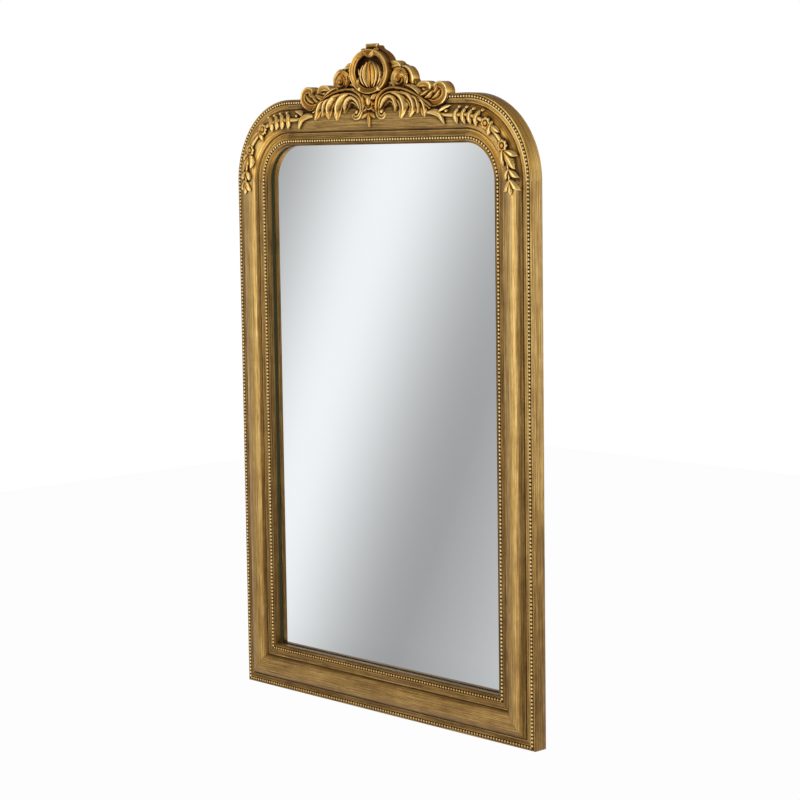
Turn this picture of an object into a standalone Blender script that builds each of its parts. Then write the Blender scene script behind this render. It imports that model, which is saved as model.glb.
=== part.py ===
import bpy
import bmesh
from math import acos, cos, hypot, pi, sin, sqrt
from mathutils import Vector

# An arched wall mirror in a gilded moulding with pearl beading, a carved crest and corner garlands.
# Metres, +Z up. The face looks along -Y and the wall is on the +Y side.
# Every piece hangs from one empty. Under it Y is 0 at the plane of the bead rows, Z is 0 at the frame's foot.

# Frame outline
frame_width = 0.914
frame_height = 1.345
corner_radius = 0.181
frame_depth = 0.034

# Clearances
fit_gap = 0.0003
crown_margin = 0.0012
cut_overrun = 0.004
weld_distance = 0.00001

# Moulding section, measured inwards from the outer edge and forwards from the bead plane
edge_chamfer = 0.0012
edge_to_beads = 0.0073
bead_gauge = 0.084
beads_to_sight = 0.0102
bead_width = 0.0066
bead_proud = 0.0026
groove_depth = 0.0022
outer_fillet_rise = 0.0008
inner_fillet_rise = 0.0014
beads_to_torus = 0.0150
torus_width = 0.0505
torus_rise = 0.012
quirk_width = 0.0016
quirk_depth = 0.0014
lip_depth = 0.0125
lip_round = 0.002
rebate_width = 0.009
board_landing = 0.017

# Glazing, in order from the lip to the back
gasket_thickness = 0.0046
gasket_setback = 0.0015
glass_thickness = 0.005
packing_thickness = 0.0055
board_thickness = 0.004

# Loose tenons
tenon_length = 0.060
tenon_width = 0.040
tenon_thickness = 0.009
tenon_round = 0.003

# Fixings behind
board_screw_length = 0.016
board_screw_head = 0.0038
board_screw_head_rise = 0.0022
board_screw_shank = 0.0018
strap_width = 0.016
strap_length = 0.048
strap_thickness = 0.0015
strap_inset = 0.040
strap_drop = 0.325
ring_wire = 0.00175
ring_inner_width = 0.020
ring_drop = 0.0175
ring_play = 0.00045
strap_screw_length = 0.015
strap_screw_head = 0.0034
strap_screw_head_rise = 0.0020
strap_screw_shank = 0.0019
first_screw_drop = 0.0270
second_screw_drop = 0.0410
bumper_radius = 0.008
bumper_height = 0.0082
bumper_inset = 0.030

# Crest: reach to each side of the middle, rise above the frame's top edge, and its slab
crest_half_width = 0.237
crest_rise = 0.111
slab_setback = 0.0015
slab_thickness = 0.007
crest_dowel_radius = 0.002
crest_dowel_length = 0.036
crest_dowel_depth = 0.0053
crest_dowel_place = 0.085

# Crest ornaments: how far each stands in front of the bead plane, and its sizes from the crest's
leaf_breadth_share = 0.0633
ring_width_share = 0.25
ring_height_share = 0.425
ring_band_share = 0.236
rose_radius_share = 0.097
rose_band_share = 0.37
leaf_breadth = crest_half_width * leaf_breadth_share
leaf_lift = 0.004
acanthus_proud = 0.0155
ring_half_width = crest_half_width * ring_width_share
ring_half_height = crest_rise * ring_height_share
ring_band = ring_half_width * ring_band_share
ring_proud = 0.0148
palmette_proud = 0.0128
rose_radius = crest_half_width * rose_radius_share
rose_band = rose_radius * rose_band_share
rose_proud = 0.0130
rose_pad_proud = 0.003
roll_radius = 0.0052
roll_length = 0.034
roll_proud = 0.004
wing_proud = 0.0065
boss_radius = 0.0105
boss_proud = 0.0190
husk_proud = 0.0165

# Corner garlands: their reach along the torus from the middle of the corner towards the crest
garland_reach = 0.205
garland_leaf_breadth = 0.0126
garland_lift = 0.0042
rosette_radius = 0.0132
rosette_proud = 0.0188
rosette_place = 0.0316
rosette_shift = 0.004

# Facets
corner_steps = 10
torus_steps = 8
bead_steps = 6
round_steps = 12
ring_steps = 36

# Where the section's features lie, from the outer edge inwards
moulding_width = edge_to_beads + bead_gauge + beads_to_sight
groove_half = bead_width / 2 + fit_gap
outer_bead_line = edge_to_beads
inner_bead_line = edge_to_beads + bead_gauge
torus_start = outer_bead_line + beads_to_torus
torus_end = torus_start + torus_width
torus_line = torus_start + torus_width / 2
rebate_line = moulding_width - rebate_width
board_line = rebate_line - board_landing

# Depths behind the bead plane
gasket_front = lip_depth + fit_gap
glass_front = gasket_front + gasket_thickness + fit_gap
packing_front = glass_front + glass_thickness + fit_gap
board_seat = packing_front + packing_thickness
board_front = board_seat + fit_gap
board_back = board_front + board_thickness

# The outline's arcs turn about these centres
arc_centre_x = frame_width / 2 - corner_radius
arc_centre_z = frame_height - corner_radius
top_rail_length = frame_width - 2 * corner_radius
stile_length = frame_height - corner_radius
mitre_gap = fit_gap * sqrt(2)

# The overall box, front to back, is centred on the world's XZ plane
box_front = max(boss_proud, rosette_proud)
box_back = frame_depth + fit_gap + bumper_height
origin_shift = (box_front - box_back) / 2

for old in list(bpy.data.objects):
    bpy.data.objects.remove(old)
for old in list(bpy.data.collections):
    bpy.data.collections.remove(old)

carvings = set()
parts = bpy.data.collections.new("arched_wall_mirror")
cutters = bpy.data.collections.new("cutters")
bpy.context.scene.collection.children.link(parts)
bpy.context.scene.collection.children.link(cutters)
cutters.hide_render = True

origin = bpy.data.objects.new("mirror_origin", None)
origin.location = (0, origin_shift, 0)
parts.objects.link(origin)


def finish(name, colour, metallic, roughness):
    made = bpy.data.materials.new(name)
    made.use_nodes = True
    shader = made.node_tree.nodes["Principled BSDF"]
    shader.inputs["Base Color"].default_value = (*colour, 1)
    shader.inputs["Metallic"].default_value = metallic
    shader.inputs["Roughness"].default_value = roughness
    return made


gilt = finish("antique_gilt", (0.36, 0.22, 0.07), 0.6, 0.42)
gilt_relief = finish("bright_gilt", (0.48, 0.30, 0.09), 0.7, 0.36)
gilt_beads = finish("bead_gilt", (0.50, 0.34, 0.13), 0.7, 0.35)
raw_timber = finish("raw_timber", (0.55, 0.42, 0.28), 0.0, 0.75)
mirror_finish = finish("silvered_glass", (0.80, 0.82, 0.82), 1.0, 0.03)
gasket_finish = finish("dark_gasket", (0.03, 0.035, 0.025), 0.0, 0.8)
packing_finish = finish("packing_card", (0.40, 0.30, 0.20), 0.0, 0.9)
board_finish = finish("backing_board", (0.30, 0.20, 0.12), 0.0, 0.85)
steel = finish("zinc_steel", (0.55, 0.55, 0.53), 1.0, 0.35)
rubber = finish("bumper_rubber", (0.05, 0.05, 0.05), 0.0, 0.8)


def object_from(name, mesh_maker, material, collection=parts):
    mesh = bpy.data.meshes.new(name)
    bmesh.ops.recalc_face_normals(mesh_maker, faces=mesh_maker.faces)
    if mesh_maker.calc_volume(signed=True) < 0:
        bmesh.ops.reverse_faces(mesh_maker, faces=mesh_maker.faces)
    mesh_maker.to_mesh(mesh)
    mesh_maker.free()
    made = bpy.data.objects.new(name, mesh)
    collection.objects.link(made)
    made.parent = origin
    if material:
        mesh.materials.append(material)
    if collection is cutters:
        made.hide_render = True
        made.display_type = "WIRE"
    return made


def place(piece, location=(0, 0, 0), turn=0):
    piece.location = location
    piece.rotation_euler = (0, turn, 0)
    return piece


def smooth(piece, angle=pi / 5):
    piece.data.shade_smooth()
    piece.data.set_sharp_from_angle(angle=angle)
    return piece


def boolean(piece, other, operation):
    # The first one on a carving also joins the ridges that it is laid up from
    step = piece.modifiers.new(other.name, "BOOLEAN")
    step.operation = operation
    step.solver = "EXACT"
    step.use_self = piece.name in carvings or other.name in carvings
    step.object = other


def cut(piece, *others):
    for other in others:
        boolean(piece, other, "DIFFERENCE")
    return piece


def fuse(piece, others):
    for other in others:
        boolean(piece, other, "UNION")
    return piece


def frozen(piece):
    # The piece with its modifiers made part of its mesh
    bpy.context.view_layer.update()
    graph = bpy.context.evaluated_depsgraph_get()
    solid = bpy.data.meshes.new_from_object(piece.evaluated_get(graph))
    solid.name = piece.name
    piece.modifiers.clear()
    piece.data = solid
    carvings.discard(piece.name)
    return piece


def mirrored(piece, name):
    # A copy on the other side of the middle plane
    mesh_maker = bmesh.new()
    mesh_maker.from_mesh(piece.data)
    bmesh.ops.scale(mesh_maker, vec=(-1, 1, 1), verts=mesh_maker.verts)
    bmesh.ops.reverse_faces(mesh_maker, faces=mesh_maker.faces)
    return object_from(name, mesh_maker, piece.data.materials[0])


def extrude_to(mesh_maker, face, move):
    # Draws the face out into a solid, each new corner going where move sends it
    made = bmesh.ops.extrude_face_region(mesh_maker, geom=[face])
    for corner in made["geom"]:
        if isinstance(corner, bmesh.types.BMVert):
            corner.co = move(corner.co)


def box(name, size, location, turn=0, material=None, collection=cutters):
    mesh_maker = bmesh.new()
    bmesh.ops.create_cube(mesh_maker, size=1)
    bmesh.ops.scale(mesh_maker, vec=size, verts=mesh_maker.verts)
    return place(object_from(name, mesh_maker, material, collection), location, turn)


def turned(name, profile, location, material=None, collection=cutters, to_wall=True, steps=round_steps):
    # A round piece about an axis along Y, from (radius, rise) points running down its outer side
    mesh_maker = bmesh.new()
    corners = [mesh_maker.verts.new((radius, 0, rise)) for radius, rise in profile]
    for first, second in zip(corners, corners[1:]):
        mesh_maker.edges.new((first, second))
    if profile[0][0] > 0:
        mesh_maker.edges.new((corners[-1], corners[0]))
    mesh = bpy.data.meshes.new(name)
    mesh_maker.to_mesh(mesh)
    mesh_maker.free()
    made = bpy.data.objects.new(name, mesh)
    collection.objects.link(made)
    made.parent = origin
    made.location = location
    made.rotation_euler = (-pi / 2 if to_wall else pi / 2, 0, 0)
    if material:
        mesh.materials.append(material)
    if collection is cutters:
        made.hide_render = True
        made.display_type = "WIRE"
    screw = made.modifiers.new("turn", "SCREW")
    screw.axis = "Z"
    screw.steps = steps
    screw.render_steps = steps
    screw.use_merge_vertices = True
    screw.merge_threshold = weld_distance
    screw.use_smooth_shade = True
    return made


# The moulding: one section, drawn out straight for the rails and turned for the corner blocks
def moulding_section():
    # (distance in from the outer edge, depth behind the bead plane), round the section
    points = [(0, frame_depth), (0, edge_chamfer), (edge_chamfer, 0)]
    groove = outer_bead_line - groove_half
    points += [(groove, 0), (groove, groove_depth)]
    groove = outer_bead_line + groove_half
    points += [(groove, groove_depth), (groove, -outer_fillet_rise)]
    quirk = torus_start - quirk_width
    points += [(quirk, -outer_fillet_rise), (quirk, quirk_depth)]
    rise = torus_rise + quirk_depth
    for step in range(torus_steps + 1):
        angle = pi * step / torus_steps
        points.append((torus_line - cos(angle) * torus_width / 2, quirk_depth - sin(angle) * rise))
    quirk = torus_end + quirk_width
    points += [(quirk, quirk_depth), (quirk, -inner_fillet_rise)]
    groove = inner_bead_line - groove_half
    points += [(groove, -inner_fillet_rise), (groove, groove_depth)]
    groove = inner_bead_line + groove_half
    points += [(groove, groove_depth), (groove, 0)]
    points += [(moulding_width - lip_round, 0), (moulding_width, lip_round), (moulding_width, lip_depth)]
    points += [(rebate_line, lip_depth), (rebate_line, board_seat)]
    points += [(board_line, board_seat), (board_line, frame_depth)]
    return points


def rail(name, section, length, start_mitre, end_mitre, material=gilt, collection=parts, start=0):
    # Along X from its start, with the section's inward side along Z. A mitred end slopes with the section
    mesh_maker = bmesh.new()
    corners = [mesh_maker.verts.new((start + inward * start_mitre, depth, inward)) for inward, depth in section]
    face = mesh_maker.faces.new(corners)
    extrude_to(mesh_maker, face, lambda co: Vector((length - co.z * end_mitre, co.y, co.z)))
    return object_from(name, mesh_maker, material, collection)


def corner(name, section, material=gilt, collection=parts):
    # A quarter turn about Y from +X up to +Z
    mesh_maker = bmesh.new()
    corners = [mesh_maker.verts.new((corner_radius - inward, depth, 0)) for inward, depth in section]
    face = mesh_maker.faces.new(corners)
    bmesh.ops.spin(mesh_maker, geom=[face], cent=(0, 0, 0), axis=(0, -1, 0), angle=pi / 2, steps=corner_steps)
    return object_from(name, mesh_maker, material, collection)


def swept_arch(name, section, material, collection, foot=0):
    # One run over both corners: up from the foot of each side, round, and across the top
    mesh_maker = bmesh.new()
    rows = []
    for inward, depth in section:
        row = []
        radius = corner_radius - inward
        if foot:
            row.append((-arc_centre_x - radius, depth, arc_centre_z - foot))
        for side, first in ((-1, pi), (1, pi / 2)):
            for step in range(corner_steps + 1):
                angle = first - step * pi / 2 / corner_steps
                row.append((side * arc_centre_x + radius * cos(angle), depth, arc_centre_z + radius * sin(angle)))
        if foot:
            row.append((arc_centre_x + radius, depth, arc_centre_z - foot))
        rows.append([mesh_maker.verts.new(point) for point in row])
    for row, following in zip(rows, rows[1:] + rows[:1]):
        for place_along in range(len(row) - 1):
            mesh_maker.faces.new(
                (row[place_along], row[place_along + 1], following[place_along + 1], following[place_along])
            )
    mesh_maker.faces.new([row[0] for row in rows])
    mesh_maker.faces.new([row[-1] for row in rows])
    return object_from(name, mesh_maker, material, collection)


section = moulding_section()
bottom_rail = place(
    rail("bottom_rail", section, frame_width - mitre_gap, 1, 1, start=mitre_gap), (-frame_width / 2, 0, 0)
)
left_stile = place(
    rail("left_stile", section, stile_length, 0, 1, start=fit_gap), (-frame_width / 2, 0, arc_centre_z), pi / 2
)
right_stile = place(
    rail("right_stile", section, stile_length - fit_gap, 1, 0), (frame_width / 2, 0, 0), -pi / 2
)
right_corner_block = place(corner("right_corner_block", section), (arc_centre_x, 0, arc_centre_z))
left_corner_block = place(corner("left_corner_block", section), (-arc_centre_x, 0, arc_centre_z), -pi / 2)
top_rail = place(
    rail("top_rail", section, top_rail_length - fit_gap, 0, 0, start=fit_gap), (arc_centre_x, 0, frame_height), pi
)
for piece in (bottom_rail, left_stile, right_stile, right_corner_block, left_corner_block, top_rail):
    smooth(piece)


# Loose tenons across the six joints, each in a mortise cut half in either piece
def tenon(name, first, second, location, turn):
    size = (tenon_length, tenon_thickness, tenon_width)
    made = box(name, size, location, turn, raw_timber, parts)
    edges = made.modifiers.new("rounded_edges", "BEVEL")
    edges.width = tenon_round
    edges.segments = 2
    edges.limit_method = "ANGLE"
    pocket = [fit_gap + length + fit_gap for length in size]
    mortise = box(name + "_mortise", pocket, location, turn)
    cut(first, mortise)
    cut(second, mortise)


tenon_depth = (frame_depth + quirk_depth) / 2
joint_inset = torus_line
for side, word, stile, block in (
    (-1, "left", left_stile, left_corner_block),
    (1, "right", right_stile, right_corner_block),
):
    edge_x = side * (frame_width / 2 - joint_inset)
    tenon(word + "_shoulder_tenon", stile, block, (edge_x, tenon_depth, arc_centre_z), pi / 2)
    joint_z = frame_height - joint_inset
    tenon(word + "_crown_tenon", block, top_rail, (side * arc_centre_x, tenon_depth, joint_z), 0)
    tenon(word + "_mitre_tenon", stile, bottom_rail, (edge_x, tenon_depth, joint_inset), -side * pi / 4)


# Bead strips: half-round fillets in the grooves on either side of the torus
def strip_section(line):
    half = bead_width / 2
    floor = groove_depth - fit_gap
    points = [(line - half, floor), (line - half, 0)]
    for step in range(1, bead_steps):
        angle = pi * step / bead_steps
        points.append((line - half * cos(angle), -bead_proud * sin(angle)))
    points += [(line + half, 0), (line + half, floor)]
    return points


def bead_strips(word, line):
    shape = strip_section(line)
    sides = rail("left_" + word, shape, stile_length, 0, 1, gilt_beads, start=fit_gap)
    place(sides, (-frame_width / 2, 0, arc_centre_z), pi / 2)
    other = rail("right_" + word, shape, stile_length - fit_gap, 1, 0, gilt_beads)
    place(other, (frame_width / 2, 0, 0), -pi / 2)
    foot = rail("bottom_" + word, shape, frame_width - mitre_gap, 1, 1, gilt_beads, start=mitre_gap)
    place(foot, (-frame_width / 2, 0, 0))
    arch = swept_arch("arch_" + word, shape, gilt_beads, parts)
    for strip in (sides, other, foot, arch):
        smooth(strip)


bead_strips("outer_bead_strip", outer_bead_line)
bead_strips("inner_bead_strip", inner_bead_line)


# Flat arched sheets in the rebate
def arch_outline(inset):
    # From the lower left corner round to the lower right, inset from the frame's outer edge
    radius = corner_radius - inset
    points = [(-frame_width / 2 + inset, inset)]
    for side, first in ((-1, pi), (1, pi / 2)):
        for step in range(corner_steps + 1):
            angle = first - step * pi / 2 / corner_steps
            points.append((side * arc_centre_x + radius * cos(angle), arc_centre_z + radius * sin(angle)))
    points.append((frame_width / 2 - inset, inset))
    return points


def sheet(name, inset, front, thickness, material):
    mesh_maker = bmesh.new()
    corners = [mesh_maker.verts.new((x, front, z)) for x, z in arch_outline(inset)]
    face = mesh_maker.faces.new(corners)
    extrude_to(mesh_maker, face, lambda co: co + Vector((0, thickness, 0)))
    return object_from(name, mesh_maker, material)


glass_inset = rebate_line + fit_gap
mirror_glass = sheet("mirror_glass", glass_inset, glass_front, glass_thickness, mirror_finish)
packing_sheet = sheet("packing_sheet", glass_inset, packing_front, packing_thickness, packing_finish)
backing_board = sheet("backing_board", board_line + fit_gap, board_front, board_thickness, board_finish)


def gasket():
    # A dark strip all round between the lip and the glass, set back from the sight edge
    mesh_maker = bmesh.new()
    loops = []
    for inset in (glass_inset, moulding_width - gasket_setback):
        loops.append([mesh_maker.verts.new((x, gasket_front, z)) for x, z in arch_outline(inset)])
    count = len(loops[0])
    for index in range(count):
        following = (index + 1) % count
        mesh_maker.faces.new((loops[0][index], loops[0][following], loops[1][following], loops[1][index]))
    mesh = bpy.data.meshes.new("glazing_gasket")
    mesh_maker.to_mesh(mesh)
    mesh_maker.free()
    made = bpy.data.objects.new("glazing_gasket", mesh)
    parts.objects.link(made)
    made.parent = origin
    mesh.materials.append(gasket_finish)
    thickness = made.modifiers.new("thickness", "SOLIDIFY")
    thickness.thickness = gasket_thickness
    thickness.offset = 1 if mesh.polygons[0].normal.y > 0 else -1


gasket()


# Screws with their heads to the wall, and the holes that they fill
head_shoulder_share = 0.72
head_crown_share = 0.75
point_share = 0.35


def screw_profile(head, rise, shank, length):
    return [
        (0, rise),
        (head * head_shoulder_share, rise * head_crown_share),
        (head, 0),
        (shank, 0),
        (shank, shank - length),
        (shank * point_share, -length),
        (0, -length),
    ]


def drilled_screw(name, location, head, rise, shank, length, *pieces):
    turned(name, screw_profile(head, rise, shank, length), location, steel, parts)
    hole = shank + fit_gap
    bottom = -length - fit_gap
    drill = turned(
        name + "_hole", [(0, cut_overrun), (hole, cut_overrun), (hole, bottom), (0, bottom)], location
    )
    for piece in pieces:
        cut(piece, drill)


# Screws round the backing board, in the landing behind the glass
screw_inset = board_line + board_landing / 2
board_screw_surface = board_back + fit_gap
board_screw_sizes = (board_screw_head, board_screw_head_rise, board_screw_shank, board_screw_length)
lower_board_screw_share = 0.12
upper_board_screw_share = 0.88
for side, word, stile in ((-1, "left", left_stile), (1, "right", right_stile)):
    for level, share in (("lower", lower_board_screw_share), ("upper", upper_board_screw_share)):
        spot = (side * (frame_width / 2 - screw_inset), board_screw_surface, stile_length * share)
        drilled_screw(f"{word}_{level}_board_screw", spot, *board_screw_sizes, backing_board, stile)

# Hanging rings: a screwed strap with its loop round the bar of a D-shaped ring that swings on it
loop_bore = ring_wire + ring_play
loop_radius = loop_bore + strap_thickness
pivot_depth = frame_depth + fit_gap + loop_radius
loop_steps = 16
ring_corner_share = 0.25
bow_steps = 9


def strap(name, location):
    # Its plate against the frame's back, its loop at the top about the local X axis
    plate_front = strap_thickness - loop_radius
    meet = -sqrt(loop_radius**2 - plate_front**2)
    mesh_maker = bmesh.new()
    outline = [(-loop_radius, -strap_length), (-loop_radius, 0)]
    reach = pi + acos(plate_front / loop_radius)
    for step in range(1, loop_steps):
        angle = pi - reach * step / loop_steps
        outline.append((loop_radius * cos(angle), loop_radius * sin(angle)))
    outline += [(plate_front, meet), (plate_front, -strap_length)]
    corners = [mesh_maker.verts.new((-strap_width / 2, depth, height)) for depth, height in outline]
    face = mesh_maker.faces.new(corners)
    extrude_to(mesh_maker, face, lambda co: co + Vector((strap_width, 0, 0)))
    return place(object_from(name, mesh_maker, steel), location)


def hanging_ring(name, location):
    # A bar along X at its origin, with a bow hanging below it
    reach = ring_inner_width / 2 + ring_wire
    chamfer = reach * ring_corner_share
    points = [(chamfer - reach, 0), (reach - chamfer, 0)]
    for step in range(bow_steps + 1):
        angle = pi * step / bow_steps
        points.append((reach * cos(angle), -chamfer - (ring_drop - chamfer) * sin(angle)))
    curve = bpy.data.curves.new(name, "CURVE")
    curve.dimensions = "3D"
    curve.bevel_depth = ring_wire
    curve.bevel_resolution = 2
    spline = curve.splines.new("POLY")
    spline.points.add(len(points) - 1)
    for point, (x, z) in zip(spline.points, points):
        point.co = (x, 0, z, 1)
    spline.use_cyclic_u = True
    bent = bpy.data.objects.new(name + "_wire", curve)
    cutters.objects.link(bent)
    bpy.context.view_layer.update()
    solid = bpy.data.meshes.new_from_object(bent)
    bpy.data.objects.remove(bent)
    mesh_maker = bmesh.new()
    mesh_maker.from_mesh(solid)
    bmesh.ops.remove_doubles(mesh_maker, verts=mesh_maker.verts, dist=weld_distance)
    return smooth(place(object_from(name, mesh_maker, steel), location))


strap_height = frame_height - strap_drop
strap_screw_surface = frame_depth + fit_gap + strap_thickness + fit_gap
strap_screw_sizes = (strap_screw_head, strap_screw_head_rise, strap_screw_shank, strap_screw_length)
for side, word, stile in ((-1, "left", left_stile), (1, "right", right_stile)):
    strap_x = side * (frame_width / 2 - strap_inset)
    pivot = (strap_x, pivot_depth, strap_height)
    hanger = strap(f"{word}_hanger_strap", pivot)
    bore = turned(
        f"{word}_loop_bore",
        [(0, strap_width), (loop_bore, strap_width), (loop_bore, -strap_width), (0, -strap_width)],
        pivot,
    )
    bore.rotation_euler = (0, pi / 2, 0)
    cut(hanger, bore)
    hanging_ring(f"{word}_hanging_ring", pivot)
    for level, drop in (("upper", first_screw_drop), ("lower", second_screw_drop)):
        spot = (strap_x, strap_screw_surface, strap_height - drop)
        drilled_screw(f"{word}_{level}_hanger_screw", spot, *strap_screw_sizes, hanger, stile)
    bumper_front = frame_depth + fit_gap
    turned(
        f"{word}_bumper",
        [(0, bumper_height), (bumper_radius, bumper_height), (bumper_radius, 0), (0, 0)],
        (side * (frame_width / 2 - bumper_inset), bumper_front, bumper_inset),
        rubber,
        parts,
    )


# Carved ornament: ridges laid along paths in the XZ plane, joined, and seated on the slab and the moulding
leaf_taper_shares = (0.5, 0.85, 1.0, 0.95, 0.7, 0.2)
lobe_taper_shares = (0.55, 0.85, 1.0, 1.0, 0.8, 0.4)
almond_taper_shares = (0.25, 0.75, 1.0, 0.95, 0.65, 0.15)
scroll_taper_shares = (0.6, 0.9, 1.0, 1.0, 0.85, 0.5)
wire_taper_shares = (0.6, 1.0, 1.0, 1.0, 1.0, 0.5)
ridge_shape_shares = ((-1, 0.4), (0, 1), (1, 0.4))
steps_per_span = 2
root_step = 0.0004


def torus_height(inward):
    across = (inward - torus_line) / (torus_width / 2)
    if abs(across) >= 1:
        return 0
    return (torus_rise + quirk_depth) * sqrt(1 - across**2) - quirk_depth


def seat_height(x, z):
    # How far the moulding under a point stands in front of the bead plane
    beyond_x = abs(x) - arc_centre_x
    beyond_z = z - arc_centre_z
    if beyond_x > 0 and beyond_z > 0:
        inward = corner_radius - hypot(beyond_x, beyond_z)
    else:
        inward = min(corner_radius - beyond_x, corner_radius - beyond_z)
    return max(bead_proud, torus_height(inward)) if inward > 0 else 0


def curve_through(points, per_span):
    # Catmull-Rom points through the given ones
    given = [Vector(point) for point in points]
    given = [2 * given[0] - given[1], *given, 2 * given[-1] - given[-2]]
    along = []
    for before, start, end, after in zip(given, given[1:], given[2:], given[3:]):
        for step in range(per_span):
            t = step / per_span
            blend = start * 2 + (end - before) * t
            blend += (before * 2 - start * 5 + end * 4 - after) * t**2
            blend += (start * 3 - before - end * 3 + after) * t**3
            along.append(blend / 2)
    along.append(given[-2])
    return along


def share_at(shares, place_share):
    place_along = place_share * (len(shares) - 1)
    low = min(int(place_along), len(shares) - 2)
    return shares[low] + (shares[low + 1] - shares[low]) * (place_along - low)


def add_ridge(mesh_maker, points, breadth, taper, proud, lift, floor):
    # It keeps its own height, or follows the moulding under it where that is higher
    stations = curve_through(points, steps_per_span)
    rows = []
    for index, centre in enumerate(stations):
        ahead = stations[min(index + 1, len(stations) - 1)]
        behind = stations[max(index - 1, 0)]
        sideways = (ahead - behind).normalized().orthogonal()
        half = breadth / 2 * share_at(taper, index / (len(stations) - 1))
        left = centre - sideways * half
        right = centre + sideways * half
        row = [mesh_maker.verts.new((left.x, floor, left.y))]
        for share, height in ridge_shape_shares:
            spot = centre + sideways * half * share
            front = max(proud * height, seat_height(spot.x, spot.y) + lift * height)
            row.append(mesh_maker.verts.new((spot.x, -front, spot.y)))
        row.append(mesh_maker.verts.new((right.x, floor, right.y)))
        rows.append(row)
    for row, following in zip(rows, rows[1:]):
        for corner_along in range(len(row)):
            turn_to = (corner_along + 1) % len(row)
            mesh_maker.faces.new(
                (row[corner_along], row[turn_to], following[turn_to], following[corner_along])
            )
    mesh_maker.faces.new(rows[0])
    mesh_maker.faces.new(rows[-1])


def carving(name, ridges, material=None, collection=cutters):
    # One object laid up from overlapping ridges
    mesh_maker = bmesh.new()
    for ridge in ridges:
        add_ridge(mesh_maker, *ridge)
    bmesh.ops.triangulate(mesh_maker, faces=mesh_maker.faces[:])
    carvings.add(name)
    return object_from(name, mesh_maker, material, collection)


def on_crest(point):
    # From shares of the crest's half width and of its rise above the frame
    return (crest_half_width * point[0], frame_height + crest_rise * point[1])


def crest_carving(name, strokes, breadth, proud, floor, material=None, collection=cutters):
    ridges = []
    for number, (breadth_share, proud_share, taper, share_points) in enumerate(strokes):
        points = [on_crest(point) for point in share_points]
        depth = floor + root_step * number
        ridges.append((points, breadth * breadth_share, taper, proud * proud_share, leaf_lift, depth))
    return carving(name, ridges, material, collection)


# What the ornaments are seated against: the moulding and its beads, and the front plane of the slab
seat_foot = 0.25
seat_back = frame_depth + cut_overrun
seat_section = [(-fit_gap, seat_back), (-fit_gap, -bead_proud - fit_gap)]
for seat_step in range(torus_steps + 1):
    seat_angle = pi * seat_step / torus_steps
    seat_across = torus_line - cos(seat_angle) * (torus_width / 2 + fit_gap)
    seat_rise = sin(seat_angle) * (torus_rise + quirk_depth + fit_gap) - quirk_depth
    if seat_rise > bead_proud + fit_gap:
        seat_section.append((seat_across, -seat_rise))
seat_section += [(moulding_width, -bead_proud - fit_gap), (moulding_width, seat_back)]
moulding_seat = swept_arch("moulding_seat", seat_section, None, cutters, seat_foot)
slab_seat = box(
    "slab_seat",
    (frame_width, crest_rise, frame_height),
    (0, slab_setback - fit_gap + crest_rise / 2, frame_height - fit_gap + frame_height / 2),
)
ornament_floor = slab_setback + cut_overrun

slab_outline_shares = [
    (0, 0.964), (0.059, 0.964), (0.084, 0.901), (0.152, 0.829), (0.207, 0.73), (0.245, 0.595),
    (0.304, 0.595), (0.38, 0.577), (0.468, 0.45), (0.536, 0.315), (0.582, 0.189), (0.658, 0.198),
    (0.717, 0.153), (0.793, 0.171), (0.869, 0.189), (0.937, 0.144), (0.962, 0.054), (0.945, 0.018),
]


def crest_slab_solid():
    half = [on_crest(point) for point in slab_outline_shares]
    half.append((half[-1][0], frame_height + fit_gap))
    outline = half + [(-x, z) for x, z in reversed(half[1:])]
    mesh_maker = bmesh.new()
    corners = [mesh_maker.verts.new((x, slab_setback, z)) for x, z in outline]
    face = mesh_maker.faces.new(corners)
    extrude_to(mesh_maker, face, lambda co: co + Vector((0, slab_thickness, 0)))
    return object_from("crest_slab", mesh_maker, gilt)


crest_slab = crest_slab_solid()
for side, word in ((-1, "left"), (1, "right")):
    spot = (side * crest_dowel_place, crest_dowel_depth, frame_height)
    half_length = crest_dowel_length / 2
    dowel_profile = [
        (0, half_length), (crest_dowel_radius, half_length), (crest_dowel_radius, -half_length), (0, -half_length)
    ]
    dowel = turned(f"{word}_crest_dowel", dowel_profile, spot, raw_timber, parts)
    hole_radius = crest_dowel_radius + fit_gap
    half_hole = half_length + fit_gap
    hole = turned(
        f"{word}_crest_dowel_hole",
        [(0, half_hole), (hole_radius, half_hole), (hole_radius, -half_hole), (0, -half_hole)],
        spot,
    )
    dowel.rotation_euler = (0, 0, 0)
    hole.rotation_euler = (0, 0, 0)
    cut(crest_slab, hole)
    cut(top_rail, hole)

# The ring in the middle, with two small leaves folded over its top
ring_squash = ring_half_height / ring_half_width
ring_centre_share = 0.472
ring_centre = (0, 0, frame_height + crest_rise * ring_centre_share)
ring_shape_shares = ((0, 0.55), (0.22, 0.93), (0.5, 1), (0.78, 0.93), (1, 0.55))


def elliptical(piece):
    piece.scale = (1, ring_squash, 1)
    return piece


ring_inner = ring_half_width - ring_band
ring_front = [(ring_inner + ring_band * across, ring_proud * rise) for across, rise in ring_shape_shares]
ring_profile = [(ring_inner, -ornament_floor), *ring_front, (ring_half_width, -ornament_floor)]
crest_ring = elliptical(
    turned("crest_ring", ring_profile, ring_centre, gilt_relief, parts, to_wall=False, steps=ring_steps)
)
ring_clear = ring_half_width + fit_gap
ring_space = elliptical(
    turned(
        "ring_space",
        [(0, box_front), (ring_clear, box_front), (ring_clear, -box_front), (0, -box_front)],
        ring_centre,
        to_wall=False,
        steps=ring_steps,
    )
)
ring_hollow = ring_inner - fit_gap
ring_surround = elliptical(
    turned(
        "ring_surround",
        [(ring_hollow, box_front), (ring_clear, box_front), (ring_clear, -box_front), (ring_hollow, -box_front)],
        ring_centre,
        to_wall=False,
        steps=ring_steps,
    )
)
fold_floor = -rose_pad_proud
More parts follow.
